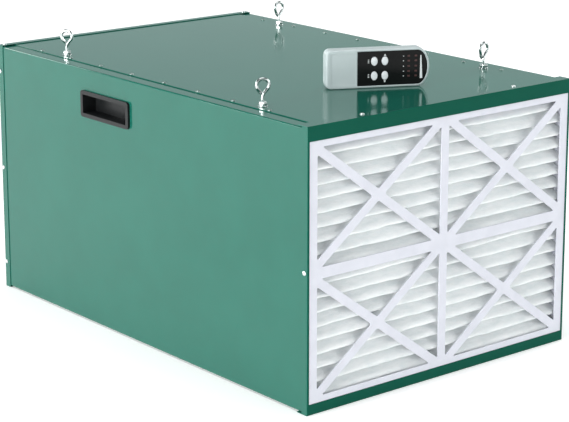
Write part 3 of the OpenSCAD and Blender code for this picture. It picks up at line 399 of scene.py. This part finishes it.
def die_cut_window(corners, setbacks, rounding, plate):
    """Adds a rounded triangular window, set back from each side, to a plate's outline."""
    middle = sum((Vector(c) for c in corners), Vector((0.0, 0.0))) / 3.0
    lines = []
    for i in range(3):
        a, b = Vector(corners[i]), Vector(corners[(i + 1) % 3])
        along = (b - a).normalized()
        inward = Vector((-along.y, along.x))
        if inward.dot(middle - a) < 0.0:
            inward = -inward
        lines.append((a + inward * setbacks[i], along))
    tips = []
    for i in range(3):
        (p, d), (q, e) = lines[i - 1], lines[i]
        step = ((q - p).x * e.y - (q - p).y * e.x) / (d.x * e.y - d.y * e.x)
        tips.append(p + d * step)
    window = bmesh.new()
    corner_verts = [window.verts.new((tip.x, 0.0, tip.y)) for tip in tips]
    window.faces.new(corner_verts)
    bmesh.ops.bevel(window, geom=window.verts[:], offset=rounding, offset_type="OFFSET",
                    affect="VERTICES", segments=5, profile=0.5, material=-1)
    bmesh.ops.delete(window, geom=window.faces[:], context="FACES_ONLY")
    join(plate, window)


white_card, tree, surface = new_finish("white_card", (0.72, 0.725, 0.795), 0.5)
tint(tree, surface, mottle(tree, 45.0, 5.0), (0.70, 0.705, 0.775), (0.74, 0.745, 0.815))
vary_roughness(tree, surface, mottle(tree, 200.0), 0.42, 0.6)
grain(tree, surface, mottle(tree, 700.0, 4.0, stretch=(1.0, 1.0, 0.35)), 0.00006)

card_low, card_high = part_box("outer_filter_frame")
card_w = card_high.x - card_low.x
card_h = card_high.z - card_low.z
card_middle = Vector((0.5 * (card_low.x + card_high.x), 0.5 * (card_low.z + card_high.z)))
half_v, half_h, half_x = 0.0070, 0.0080, 0.0064
side_border, end_border = 0.014, 0.009
window_rounding = 0.0040
card_thickness = 0.0018
card_trim = 0.0004
box_start = 0.0019
rear_rim_width = 0.0102
plate = bmesh.new()
rim = [plate.verts.new((card_low.x if i in (0, 3) else card_high.x, 0.0,
                        card_low.z if i < 2 else card_high.z)) for i in range(4)]
for i in range(4):
    plate.edges.new((rim[i], rim[(i + 1) % 4]))
for sx in (-1, 1):
    for sz in (-1, 1):
        hub = (card_middle.x, card_middle.y)
        outer = (card_middle.x + sx * card_w / 2, card_middle.y + sz * card_h / 2)
        side = (outer[0], hub[1])
        end = (hub[0], outer[1])
        crossing = ((hub[0] + outer[0]) / 2, (hub[1] + outer[1]) / 2)
        die_cut_window((outer, end, crossing), (end_border, half_x, half_x), window_rounding, plate)
        die_cut_window((side, outer, crossing), (side_border, half_x, half_x), window_rounding, plate)
        die_cut_window((hub, end, crossing), (half_v, half_x, half_x), window_rounding, plate)
        die_cut_window((hub, side, crossing), (half_h, half_x, half_x), window_rounding, plate)
bmesh.ops.triangle_fill(plate, edges=plate.edges[:], use_beauty=True, use_dissolve=False,
                        normal=(0.0, -1.0, 0.0))
bmesh.ops.recalc_face_normals(plate, faces=plate.faces)
for face in plate.faces:
    if face.normal.y > 0.0:
        face.normal_flip()
walls = bmesh.ops.extrude_face_region(plate, geom=plate.faces[:], use_keep_orig=True)
back_verts = [v for v in walls["geom"] if isinstance(v, bmesh.types.BMVert)]
bmesh.ops.translate(plate, verts=back_verts, vec=(0.0, card_thickness, 0.0))
bmesh.ops.recalc_face_normals(plate, faces=plate.faces)
bmesh.ops.translate(plate, verts=plate.verts, vec=(0.0, card_low.y, 0.0))
add_piece("card_face", plate, white_card, "white_card", "outer_filter", smooth=0.0)

box = bmesh.new()
bmesh.ops.create_cube(box, size=1.0)
bmesh.ops.scale(box, verts=box.verts,
                vec=(card_w - card_trim, card_high.y - card_low.y - box_start, card_h - card_trim))
bmesh.ops.translate(box, verts=box.verts,
                    vec=(card_middle.x, 0.5 * (card_low.y + card_high.y) + 0.5 * box_start,
                         card_middle.y))
round_edges(box, [e for e in box.edges if abs((e.verts[0].co - e.verts[1].co).y) > 0.02], 0.0012, 2)
front = [f for f in box.faces if f.normal.y < -0.9]
back = [f for f in box.faces if f.normal.y > 0.9]
bmesh.ops.delete(box, geom=front + back, context="FACES")
bmesh.ops.solidify(box, geom=box.faces[:], thickness=card_thickness)

rear_rim = bmesh.new()
bmesh.ops.create_grid(rear_rim, x_segments=1, y_segments=1, size=0.5)
bmesh.ops.scale(rear_rim, verts=rear_rim.verts,
                vec=(card_w - 2.0 * card_thickness, card_h - 2.0 * card_thickness, 1.0))
bmesh.ops.inset_region(rear_rim, faces=rear_rim.faces[:], thickness=rear_rim_width,
                       use_even_offset=True, use_boundary=True)
bmesh.ops.delete(rear_rim, geom=[max(rear_rim.faces, key=lambda face: face.calc_area())],
                 context="FACES")
folded = bmesh.ops.extrude_face_region(rear_rim, geom=rear_rim.faces[:], use_keep_orig=True)
bmesh.ops.translate(rear_rim, vec=(0.0, 0.0, card_thickness),
                    verts=[v for v in folded["geom"] if isinstance(v, bmesh.types.BMVert)])
bmesh.ops.recalc_face_normals(rear_rim, faces=rear_rim.faces)
bmesh.ops.rotate(rear_rim, verts=rear_rim.verts, cent=(0.0, 0.0, 0.0),
                 matrix=Matrix.Rotation(radians(-90.0), 3, "X"))
bmesh.ops.translate(rear_rim, verts=rear_rim.verts,
                    vec=(card_middle.x, card_high.y - card_thickness, card_middle.y))
join(box, rear_rim)
add_piece("card_box", box, white_card, "white_card", "outer_filter", "outer_filter_frame")


# ---------------------------------------------------------------- pleated media
# A mat of white synthetic fibre folded into deep level pleats and glued
# into the card. Each fold is soft, so its lip is round and a little wavy.

white_fibre, tree, surface = new_finish("white_fibre", (0.83, 0.85, 0.84), 0.95)
tint(tree, surface, mottle(tree, 120.0, 8.0, stretch=(0.4, 1.0, 1.0)),
     (0.85, 0.885, 0.895), (0.95, 0.96, 0.965), 0.3, 0.62)
surface.inputs["Sheen Weight"].default_value = 0.25
surface.inputs["Sheen Roughness"].default_value = 0.6
grain(tree, surface, mottle(tree, 380.0, 8.0, stretch=(0.4, 1.0, 1.0)), 0.0007)

media_low, media_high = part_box("outer_filter_media")
pleat_size = 0.020
fold_start = 0.04
pleats = round((media_high.z - media_low.z) / pleat_size)
pitch = (media_high.z - media_low.z) / pleats
steps = 14
columns = 150
mat = bmesh.new()
bmesh.ops.create_grid(mat, x_segments=columns, y_segments=pleats * steps, size=0.5)
for vert in mat.verts:
    across = vert.co.x + 0.5
    fold = (vert.co.y + 0.5) * pleats
    x = media_low.x + across * (media_high.x - media_low.x)
    tip = 1.0 - abs(2.0 * ((fold + fold_start) % 1.0) - 1.0)
    reach = sin(0.5 * pi * tip) ** 0.6
    row = int(fold + fold_start)
    wave = noise.noise((x * 14.0, row * 3.7, 0.0))
    flutter = noise.noise((x * 45.0, row * 5.1, 7.0))
    swell = noise.noise((x * 9.0, fold * 1.3, 3.0))
    lip = reach ** 2
    y = media_high.y - 0.0012 - reach * (media_high.y - media_low.y - 0.0045)
    y -= 0.0014 * wave * lip + 0.0016 * swell
    z = media_low.z + fold * pitch - 0.0055 * lip
    z += (0.0024 * wave + 0.0009 * flutter) * lip
    vert.co = (x, y, min(max(z, media_low.z), media_high.z))
bmesh.ops.recalc_face_normals(mat, faces=mat.faces)
bmesh.ops.solidify(mat, geom=mat.faces[:], thickness=0.0010)
bmesh.ops.recalc_face_normals(mat, faces=mat.faces)
add_piece("pleated_media", mat, white_fibre, "filter_media", "outer_filter", "outer_filter_media",
          smooth=180.0)


# ---------------------------------------------------------------- filter wire and pocket frame
# Galvanised wire grid that holds the pleats open from behind, and the
# galvanised channel frame that carries the inner filter's pockets.

galvanised, tree, surface = new_finish("galvanised", (0.52, 0.55, 0.57), 0.38, 1.0)
tint(tree, surface, mottle(tree, 70.0, 2.0), (0.42, 0.45, 0.48), (0.62, 0.64, 0.66), 0.4, 0.6)
vary_roughness(tree, surface, mottle(tree, 90.0, 3.0), 0.28, 0.5)


def dress(node, finish):
    """Gives a made part its finish."""
    for slot in nodes[node].material_slots:
        slot.material = finish


dress("outer_filter_mesh", galvanised)
shape = merged_copy("pocket_filter_frame")
round_edges(shape, outer_edges(shape, 50.0, 0.003), 0.0006, 2)
add_piece("pocket_frame_channel", shape, galvanised, "galvanised_steel", "pocket_filter",
          "pocket_filter_frame")


# ---------------------------------------------------------------- filter pockets
# Six bags of non-woven fibre sewn shut at their back ends. Rows of spacer
# stitches hold each bag to its wedge shape, and it swells between them.

pocket_cloth, tree, surface = new_finish("pocket_cloth", (0.74, 0.74, 0.68), 0.95)
tint(tree, surface, mottle(tree, 160.0, 8.0), (0.62, 0.62, 0.56), (0.80, 0.80, 0.75), 0.3, 0.65)
surface.inputs["Sheen Weight"].default_value = 0.3
grain(tree, surface, mottle(tree, 600.0, 8.0), 0.0009)

pocket_low, pocket_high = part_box("pocket_filter_pockets")
pocket_count = 6
pocket_gap = 0.004
half_tail = 0.006
mouth_pitch = (pocket_high.x - pocket_low.x + pocket_gap) / pocket_count
half_mouth = 0.5 * (mouth_pitch - pocket_gap)
length = pocket_high.y - pocket_low.y
bags = bmesh.new()
for i in range(pocket_count):
    bag = bmesh.new()
    bmesh.ops.create_cube(bag, size=1.0)
    bmesh.ops.subdivide_edges(bag, edges=bag.edges[:], cuts=27, use_grid_fill=True)
    mouth = [f for f in bag.faces if f.normal.y < -0.9]
    bmesh.ops.delete(bag, geom=mouth, context="FACES")
    for vert in bag.verts:
        t = vert.co.y + 0.5
        u = 2.0 * vert.co.z
        s = 2.0 * vert.co.x
        half = half_mouth - (half_mouth - half_tail) * t ** 1.6
        closing = (1.0 - max(0.0, t - 0.93) / 0.07 * 0.75) * (1.0 - 0.18 * t * u ** 8)
        stitched = 1.0 - 0.10 * t * (0.5 + 0.5 * cos(pi * 5.0 * u)) - 0.02
        sag = 0.0012 * noise.noise((i * 3.0, t * 5.0, u * 4.0)) * t
        x = pocket_low.x + half_mouth + i * mouth_pitch + s * half * closing * stitched + sag
        z = 0.5 * (pocket_low.z + pocket_high.z) + 0.5 * (pocket_high.z - pocket_low.z) * (
            u * (1.0 - 0.012 * t) - 0.004 * t)
        vert.co = (x, pocket_low.y + t * length * 0.998, max(z, pocket_low.z))
    bmesh.ops.recalc_face_normals(bag, faces=bag.faces)
    bmesh.ops.solidify(bag, geom=bag.faces[:], thickness=0.0012)
    join(bags, bag)
add_piece("pocket_bags", bags, pocket_cloth, "pocket_fabric", "pocket_filter",
          "pocket_filter_pockets", smooth=60.0)


# ---------------------------------------------------------------- exhaust grille
# Pressed steel grille with level louvres, painted satin black and screwed
# over the blower's outlet in the rear cover.

black_paint, tree, surface = new_finish("black_paint", (0.018, 0.019, 0.020), 0.34)
tint(tree, surface, mottle(tree, 40.0), (0.015, 0.016, 0.017), (0.024, 0.025, 0.026))
grain(tree, surface, mottle(tree, 900.0, 2.0), 0.00003)

shape = merged_copy("exhaust_grille")
round_edges(shape, outer_edges(shape, 50.0, 0.004), 0.0003, 2)
add_piece("exhaust_louvres", shape, black_paint, "black_paint", "case", "exhaust_grille")


# ---------------------------------------------------------------- rear controls
# A dark overlay panel on the rear cover with three push buttons, a row of
# lamps, the remote's receiver and the gland that the mains lead enters.

overlay_black, tree, surface = new_finish("overlay_black", (0.005, 0.0055, 0.0055), 0.14)
tint(tree, surface, mottle(tree, 25.0), (0.004, 0.0045, 0.0045), (0.007, 0.0075, 0.0075))
surface.inputs["Specular IOR Level"].default_value = 0.16
vary_roughness(tree, surface, mottle(tree, 160.0), 0.10, 0.2)

silver_plastic, tree, surface = new_finish("silver_plastic", (0.74, 0.77, 0.79), 0.28)
tint(tree, surface, mottle(tree, 300.0), (0.70, 0.73, 0.75), (0.79, 0.81, 0.83))
grain(tree, surface, mottle(tree, 2200.0, 1.0), 0.00001)

shape = merged_copy("control_panel")
round_edges(shape, outer_edges(shape, 60.0, 0.003), 0.0004, 2)
add_piece("control_overlay", shape, overlay_black, "gloss_black", "case", "control_panel")
for node, body in (("power_button", "power_push"), ("speed_button", "speed_push"),
                   ("timer_button", "timer_push")):
    shape = merged_copy(node)
    round_edges(shape, outer_edges(shape, 50.0, 0.0004), 0.0005, 3)
    add_piece(node + "_cap", shape, silver_plastic, "silver_plastic", body, node)
shape = merged_copy("cord_gland")
round_edges(shape, outer_edges(shape, 50.0, 0.0006), 0.0006, 2)
add_piece("gland_moulding", shape, black_plastic, "black_plastic", "case", "cord_gland")

white_print, tree, surface = new_finish("white_print", (0.75, 0.77, 0.78), 0.5)
tint(tree, surface, mottle(tree, 900.0), (0.68, 0.70, 0.71), (0.82, 0.84, 0.85))


def ink(mark, x, y, z):
    """Gives a flat mark, drawn about its middle, its thickness and its place on the overlay."""
    skin = bmesh.ops.extrude_face_region(mark, geom=mark.faces[:], use_keep_orig=True)
    lifted = [v for v in skin["geom"] if isinstance(v, bmesh.types.BMVert)]
    bmesh.ops.translate(mark, verts=lifted, vec=(0.0, 0.0, 0.00008))
    bmesh.ops.recalc_face_normals(mark, faces=mark.faces)
    bmesh.ops.rotate(mark, verts=mark.verts, cent=(0.0, 0.0, 0.0),
                     matrix=Matrix.Rotation(radians(-90.0), 3, "X"))
    bmesh.ops.translate(mark, verts=mark.verts, vec=(x, y, z))
    return mark


def ring_mark(x, y, z, radius, line):
    """A printed ring."""
    mark = bmesh.new()
    bmesh.ops.create_circle(mark, cap_ends=True, segments=28, radius=radius)
    bmesh.ops.inset_region(mark, faces=mark.faces[:], thickness=line, use_even_offset=True)
    middle = [f for f in mark.faces if len(f.verts) > 4]
    bmesh.ops.delete(mark, geom=middle, context="FACES")
    return ink(mark, x, y, z)


def line_mark(x, y, z, width, height):
    """A printed upright or level line."""
    mark = bmesh.new()
    bmesh.ops.create_grid(mark, x_segments=1, y_segments=1, size=0.5)
    bmesh.ops.scale(mark, vec=(width, height, 1.0), verts=mark.verts)
    return ink(mark, x, y, z)


overlay_low, overlay_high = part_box("control_panel")
overlay_x = 0.5 * (overlay_low.x + overlay_high.x)
overlay_z = 0.5 * (overlay_low.z + overlay_high.z)
ink_y = overlay_high.y
button_spacing = 0.032
line_margin = 0.0035
marks = bmesh.new()
mark_z = overlay_z + 0.0026
join(marks, ring_mark(overlay_x + button_spacing, ink_y, mark_z, 0.0022, 0.0005))
join(marks, line_mark(overlay_x + button_spacing, ink_y, mark_z + 0.0018, 0.0006, 0.0018))
for step in range(3):
    join(marks, line_mark(overlay_x - 0.0014 + 0.0014 * step, ink_y,
                          mark_z - 0.0010 + 0.0006 * (2 - step), 0.0008, 0.0034 - 0.0010 * step))
join(marks, ring_mark(overlay_x - button_spacing, ink_y, mark_z, 0.0022, 0.0004))
join(marks, line_mark(overlay_x - button_spacing, ink_y, mark_z + 0.0006, 0.0004, 0.0016))
for z in (overlay_low.z + line_margin, overlay_high.z - line_margin):
    join(marks, line_mark(overlay_x, ink_y, z, 0.086, 0.0004))
for x in (overlay_low.x + line_margin, overlay_high.x - line_margin):
    join(marks, line_mark(x, ink_y, overlay_z, 0.0004, 0.034))
add_piece("overlay_marks", marks, white_print, "silver_plastic", "case", smooth=0.0)

red_lens, tree, surface = new_finish("red_lens", (0.45, 0.03, 0.02), 0.12)
tint(tree, surface, mottle(tree, 400.0), (0.40, 0.02, 0.015), (0.52, 0.04, 0.03))
dark_lens, tree, surface = new_finish("dark_lens", (0.03, 0.004, 0.006), 0.06)
tint(tree, surface, mottle(tree, 400.0), (0.025, 0.003, 0.005), (0.04, 0.006, 0.008))
dress("indicator_lenses", red_lens)
dress("receiver_lens", dark_lens)


# ---------------------------------------------------------------- remote control
# A grey clamshell of two moulded halves with a gloss panel let into its
# face, four oval keys and a sliding battery door. It stands on its edge.

grey_plastic, tree, surface = new_finish("grey_plastic", (0.49, 0.555, 0.56), 0.36)
tint(tree, surface, mottle(tree, 30.0), (0.475, 0.54, 0.545), (0.505, 0.57, 0.575))
vary_roughness(tree, surface, mottle(tree, 260.0), 0.3, 0.44)
grain(tree, surface, mottle(tree, 1900.0, 1.0), 0.00002)

remote_length, remote_height, remote_depth = 0.154, 0.057, 0.021
remote_turn = -27.0
remote_x, remote_from_front = -0.003, 0.144
remote_foot = Vector((remote_x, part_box("front_frame")[0].y + remote_from_front,
                      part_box("remote_front")[0].z))
end_depth = 0.018
shell_corner = 0.0045
label_left, label_right, label_margin = 0.0065, 0.0445, 0.0055


def in_remote(point):
    """A point measured along, through and up the remote control."""
    return Matrix.Rotation(radians(-remote_turn), 3, "Z") @ (point - remote_foot)


def on_rim(point):
    """Whether a point lies on the remote control's outline."""
    p = in_remote(point)
    past_end = (p.x - remote_length / 2 + end_depth) / end_depth
    if past_end > 0.0:
        return hypot(past_end, 2.0 * p.z / remote_height - 1.0) > 0.985
    near_end = p.x < -remote_length / 2 + shell_corner
    return (p.z < 0.0003 or p.z > remote_height - 0.0003 or p.x < -remote_length / 2 + 0.0003
            or near_end and (p.z < shell_corner or p.z > remote_height - shell_corner))


def recess_label(shape):
    """Presses a shallow oblong into the face, beside the dark panel."""
    across = Matrix.Rotation(radians(remote_turn), 3, "Z")
    for x, z, way in ((-remote_length / 2 + label_left, 0.0, (1.0, 0.0, 0.0)),
                      (-remote_length / 2 + label_right, 0.0, (1.0, 0.0, 0.0)),
                      (0.0, label_margin, (0.0, 0.0, 1.0)),
                      (0.0, remote_height - label_margin, (0.0, 0.0, 1.0))):
        face_parts = [f for f in shape.faces
                      if all(abs(in_remote(v.co).y + remote_depth / 2) < 0.0001 for v in f.verts)]
        edges = {e for f in face_parts for e in f.edges}
        verts = {v for f in face_parts for v in f.verts}
        bmesh.ops.bisect_plane(shape, geom=[*face_parts, *edges, *verts], dist=1e-6,
                               plane_co=remote_foot + across @ Vector((x, 0.0, z)),
                               plane_no=across @ Vector(way))
    label = []
    for f in shape.faces:
        middle = in_remote(f.calc_center_median())
        if (abs(middle.y + remote_depth / 2) < 0.0001
                and label_left < middle.x + remote_length / 2 < label_right
                and label_margin < middle.z < remote_height - label_margin):
            label.append(f)
    bmesh.ops.inset_region(shape, faces=label, thickness=0.0007, depth=-0.0006,
                           use_even_offset=True, use_boundary=True)


for node, face_sign in (("remote_front", -1.0), ("remote_back", 1.0)):
    shape = merged_copy(node)
    face_y = face_sign * remote_depth / 2
    rim_edges = [e for e in shape.edges
                 if all(on_rim(v.co) and abs(in_remote(v.co).y - face_y) < 0.0002 for v in e.verts)]
    round_edges(shape, rim_edges, 0.0022, 4)
    if node == "remote_front":
        recess_label(shape)
    add_piece(node + "_shell", shape, grey_plastic, "grey_plastic", "remote", node, smooth=40.0,
              flat_above=0.0004)
shape = merged_copy("remote_battery_door")
round_edges(shape, outer_edges(shape, 50.0, 0.001), 0.0004, 2)
add_piece("battery_door", shape, grey_plastic, "grey_plastic", "remote_door",
          "remote_battery_door")
dress("remote_panel", overlay_black)
for node, body in (("remote_key_power", "remote_push_power"),
                   ("remote_key_timer", "remote_push_timer"),
                   ("remote_key_faster", "remote_push_faster"),
                   ("remote_key_slower", "remote_push_slower")):
    shape = merged_copy(node)
    round_edges(shape, outer_edges(shape, 50.0, 0.0002), 0.0005, 3)
    add_piece(node + "_cap", shape, silver_plastic, "silver_plastic", body, node)

red_print, tree, surface = new_finish("red_print", (0.055, 0.016, 0.016), 0.4)
tint(tree, surface, mottle(tree, 900.0), (0.045, 0.012, 0.012), (0.07, 0.022, 0.02))


def printed(corners):
    """A thin printed mark on the face, from corners measured from its left end and middle."""
    mark = bmesh.new()
    verts = [mark.verts.new((x / 1000.0 - remote_length / 2, -remote_depth / 2 - 0.00008,
                             remote_height / 2 + z / 1000.0)) for x, z in corners]
    face = mark.faces.new(verts)
    body = bmesh.ops.extrude_face_region(mark, geom=[face], use_keep_orig=True)
    moved = [v for v in body["geom"] if isinstance(v, bmesh.types.BMVert)]
    bmesh.ops.translate(mark, verts=moved, vec=(0.0, 0.00007, 0.0))
    bmesh.ops.recalc_face_normals(mark, faces=mark.faces)
    place(mark, remote_foot, remote_turn)
    return mark


def bar(x, z, w, h):
    """The corners of a small upright or level bar."""
    return [(x - w / 2, z - h / 2), (x + w / 2, z - h / 2), (x + w / 2, z + h / 2),
            (x - w / 2, z + h / 2)]


lamp_rows = (16.6, 9.5, 1.6, -5.7, -12.7)
white_marks = bmesh.new()
for z in (10.7, -10.7):
    for dz in (-2.0, 0.0, 2.0):
        join(white_marks, printed(bar(62.4, z + dz, 2.0, 0.9)))
for up in (1.0, -1.0):
    join(white_marks, printed([(85.0, up * 18.2), (88.6, up * 18.2), (86.8, up * 21.2)][::int(up)]))
for z in lamp_rows:
    join(white_marks, printed(bar(114.6, z, 1.6, 1.0)))
join(white_marks, printed([(139.4, -17.0), (143.2, -17.0), (141.4, 17.0), (139.8, 17.0)]))
add_piece("remote_marks", white_marks, white_print, "silver_plastic", "remote", smooth=0.0)
red_marks = bmesh.new()
for z in lamp_rows:
    for x in (122.5, 133.2):
        join(red_marks, printed(bar(x, z, 3.8, 2.6)))
add_piece("remote_lamps", red_marks, red_print, "red_lens", "remote", smooth=0.0)
dress("remote_lens", dark_lens)


# ---------------------------------------------------------------- inside the remote control
# The circuit board and the two small cells behind the battery door.

board_green, tree, surface = new_finish("board_green", (0.02, 0.13, 0.06), 0.4)
tint(tree, surface, mottle(tree, 220.0, 2.0), (0.015, 0.10, 0.045), (0.03, 0.17, 0.08), 0.45, 0.55)
cell_jacket, tree, surface = new_finish("cell_jacket", (0.05, 0.06, 0.08), 0.3)
tint(tree, surface, mottle(tree, 120.0), (0.04, 0.05, 0.07), (0.07, 0.08, 0.10))
dress("remote_board", board_green)
dress("control_board", board_green)
dress("remote_batteries", cell_jacket)


# ---------------------------------------------------------------- blower
# A drum-shaped blower wheel with flat, slanted blades in a galvanised
# scroll, bolted down on four feet, with its outlet flanged to the rear cover.

for node in ("blower_scroll", "blower_side_left", "blower_side_right", "blower_wheel",
             "blower_feet", "control_box", "capacitor_clamp", "motor_bracket"):
    dress(node, galvanised)
dress("blower_bolts", zinc_plate)


# ---------------------------------------------------------------- motor
# The blower's motor sits in a band whose three arms bolt to the scroll's
# side through rubber bushes: black shell, cast end bells, steel core
# with windings, ground shaft and bearings.

bright_steel, tree, surface = new_finish("bright_steel", (0.58, 0.58, 0.60), 0.22, 1.0)
vary_roughness(tree, surface, mottle(tree, 500.0, 2.0, stretch=(1.0, 8.0, 8.0)), 0.15, 0.3)
core_steel, tree, surface = new_finish("core_steel", (0.16, 0.12, 0.09), 0.5, 0.4)
tint(tree, surface, mottle(tree, 150.0), (0.12, 0.09, 0.06), (0.22, 0.17, 0.12))
cast_aluminium, tree, surface = new_finish("cast_aluminium", (0.60, 0.61, 0.62), 0.5, 1.0)
grain(tree, surface, mottle(tree, 700.0, 4.0), 0.0002)
vary_roughness(tree, surface, mottle(tree, 200.0), 0.42, 0.6)
black_rubber, tree, surface = new_finish("black_rubber", (0.012, 0.012, 0.012), 0.75)
tint(tree, surface, mottle(tree, 100.0), (0.010, 0.010, 0.010), (0.018, 0.018, 0.018))

for node, finish in (("motor_shell", black_paint), ("motor_end_bells", cast_aluminium),
                     ("motor_shaft", bright_steel), ("motor_bearings", bright_steel),
                     ("motor_rotor", core_steel), ("motor_stator", core_steel),
                     ("motor_bushes", black_rubber), ("run_capacitor", cast_aluminium),
                     ("wiring", black_rubber)):
    dress(node, finish)
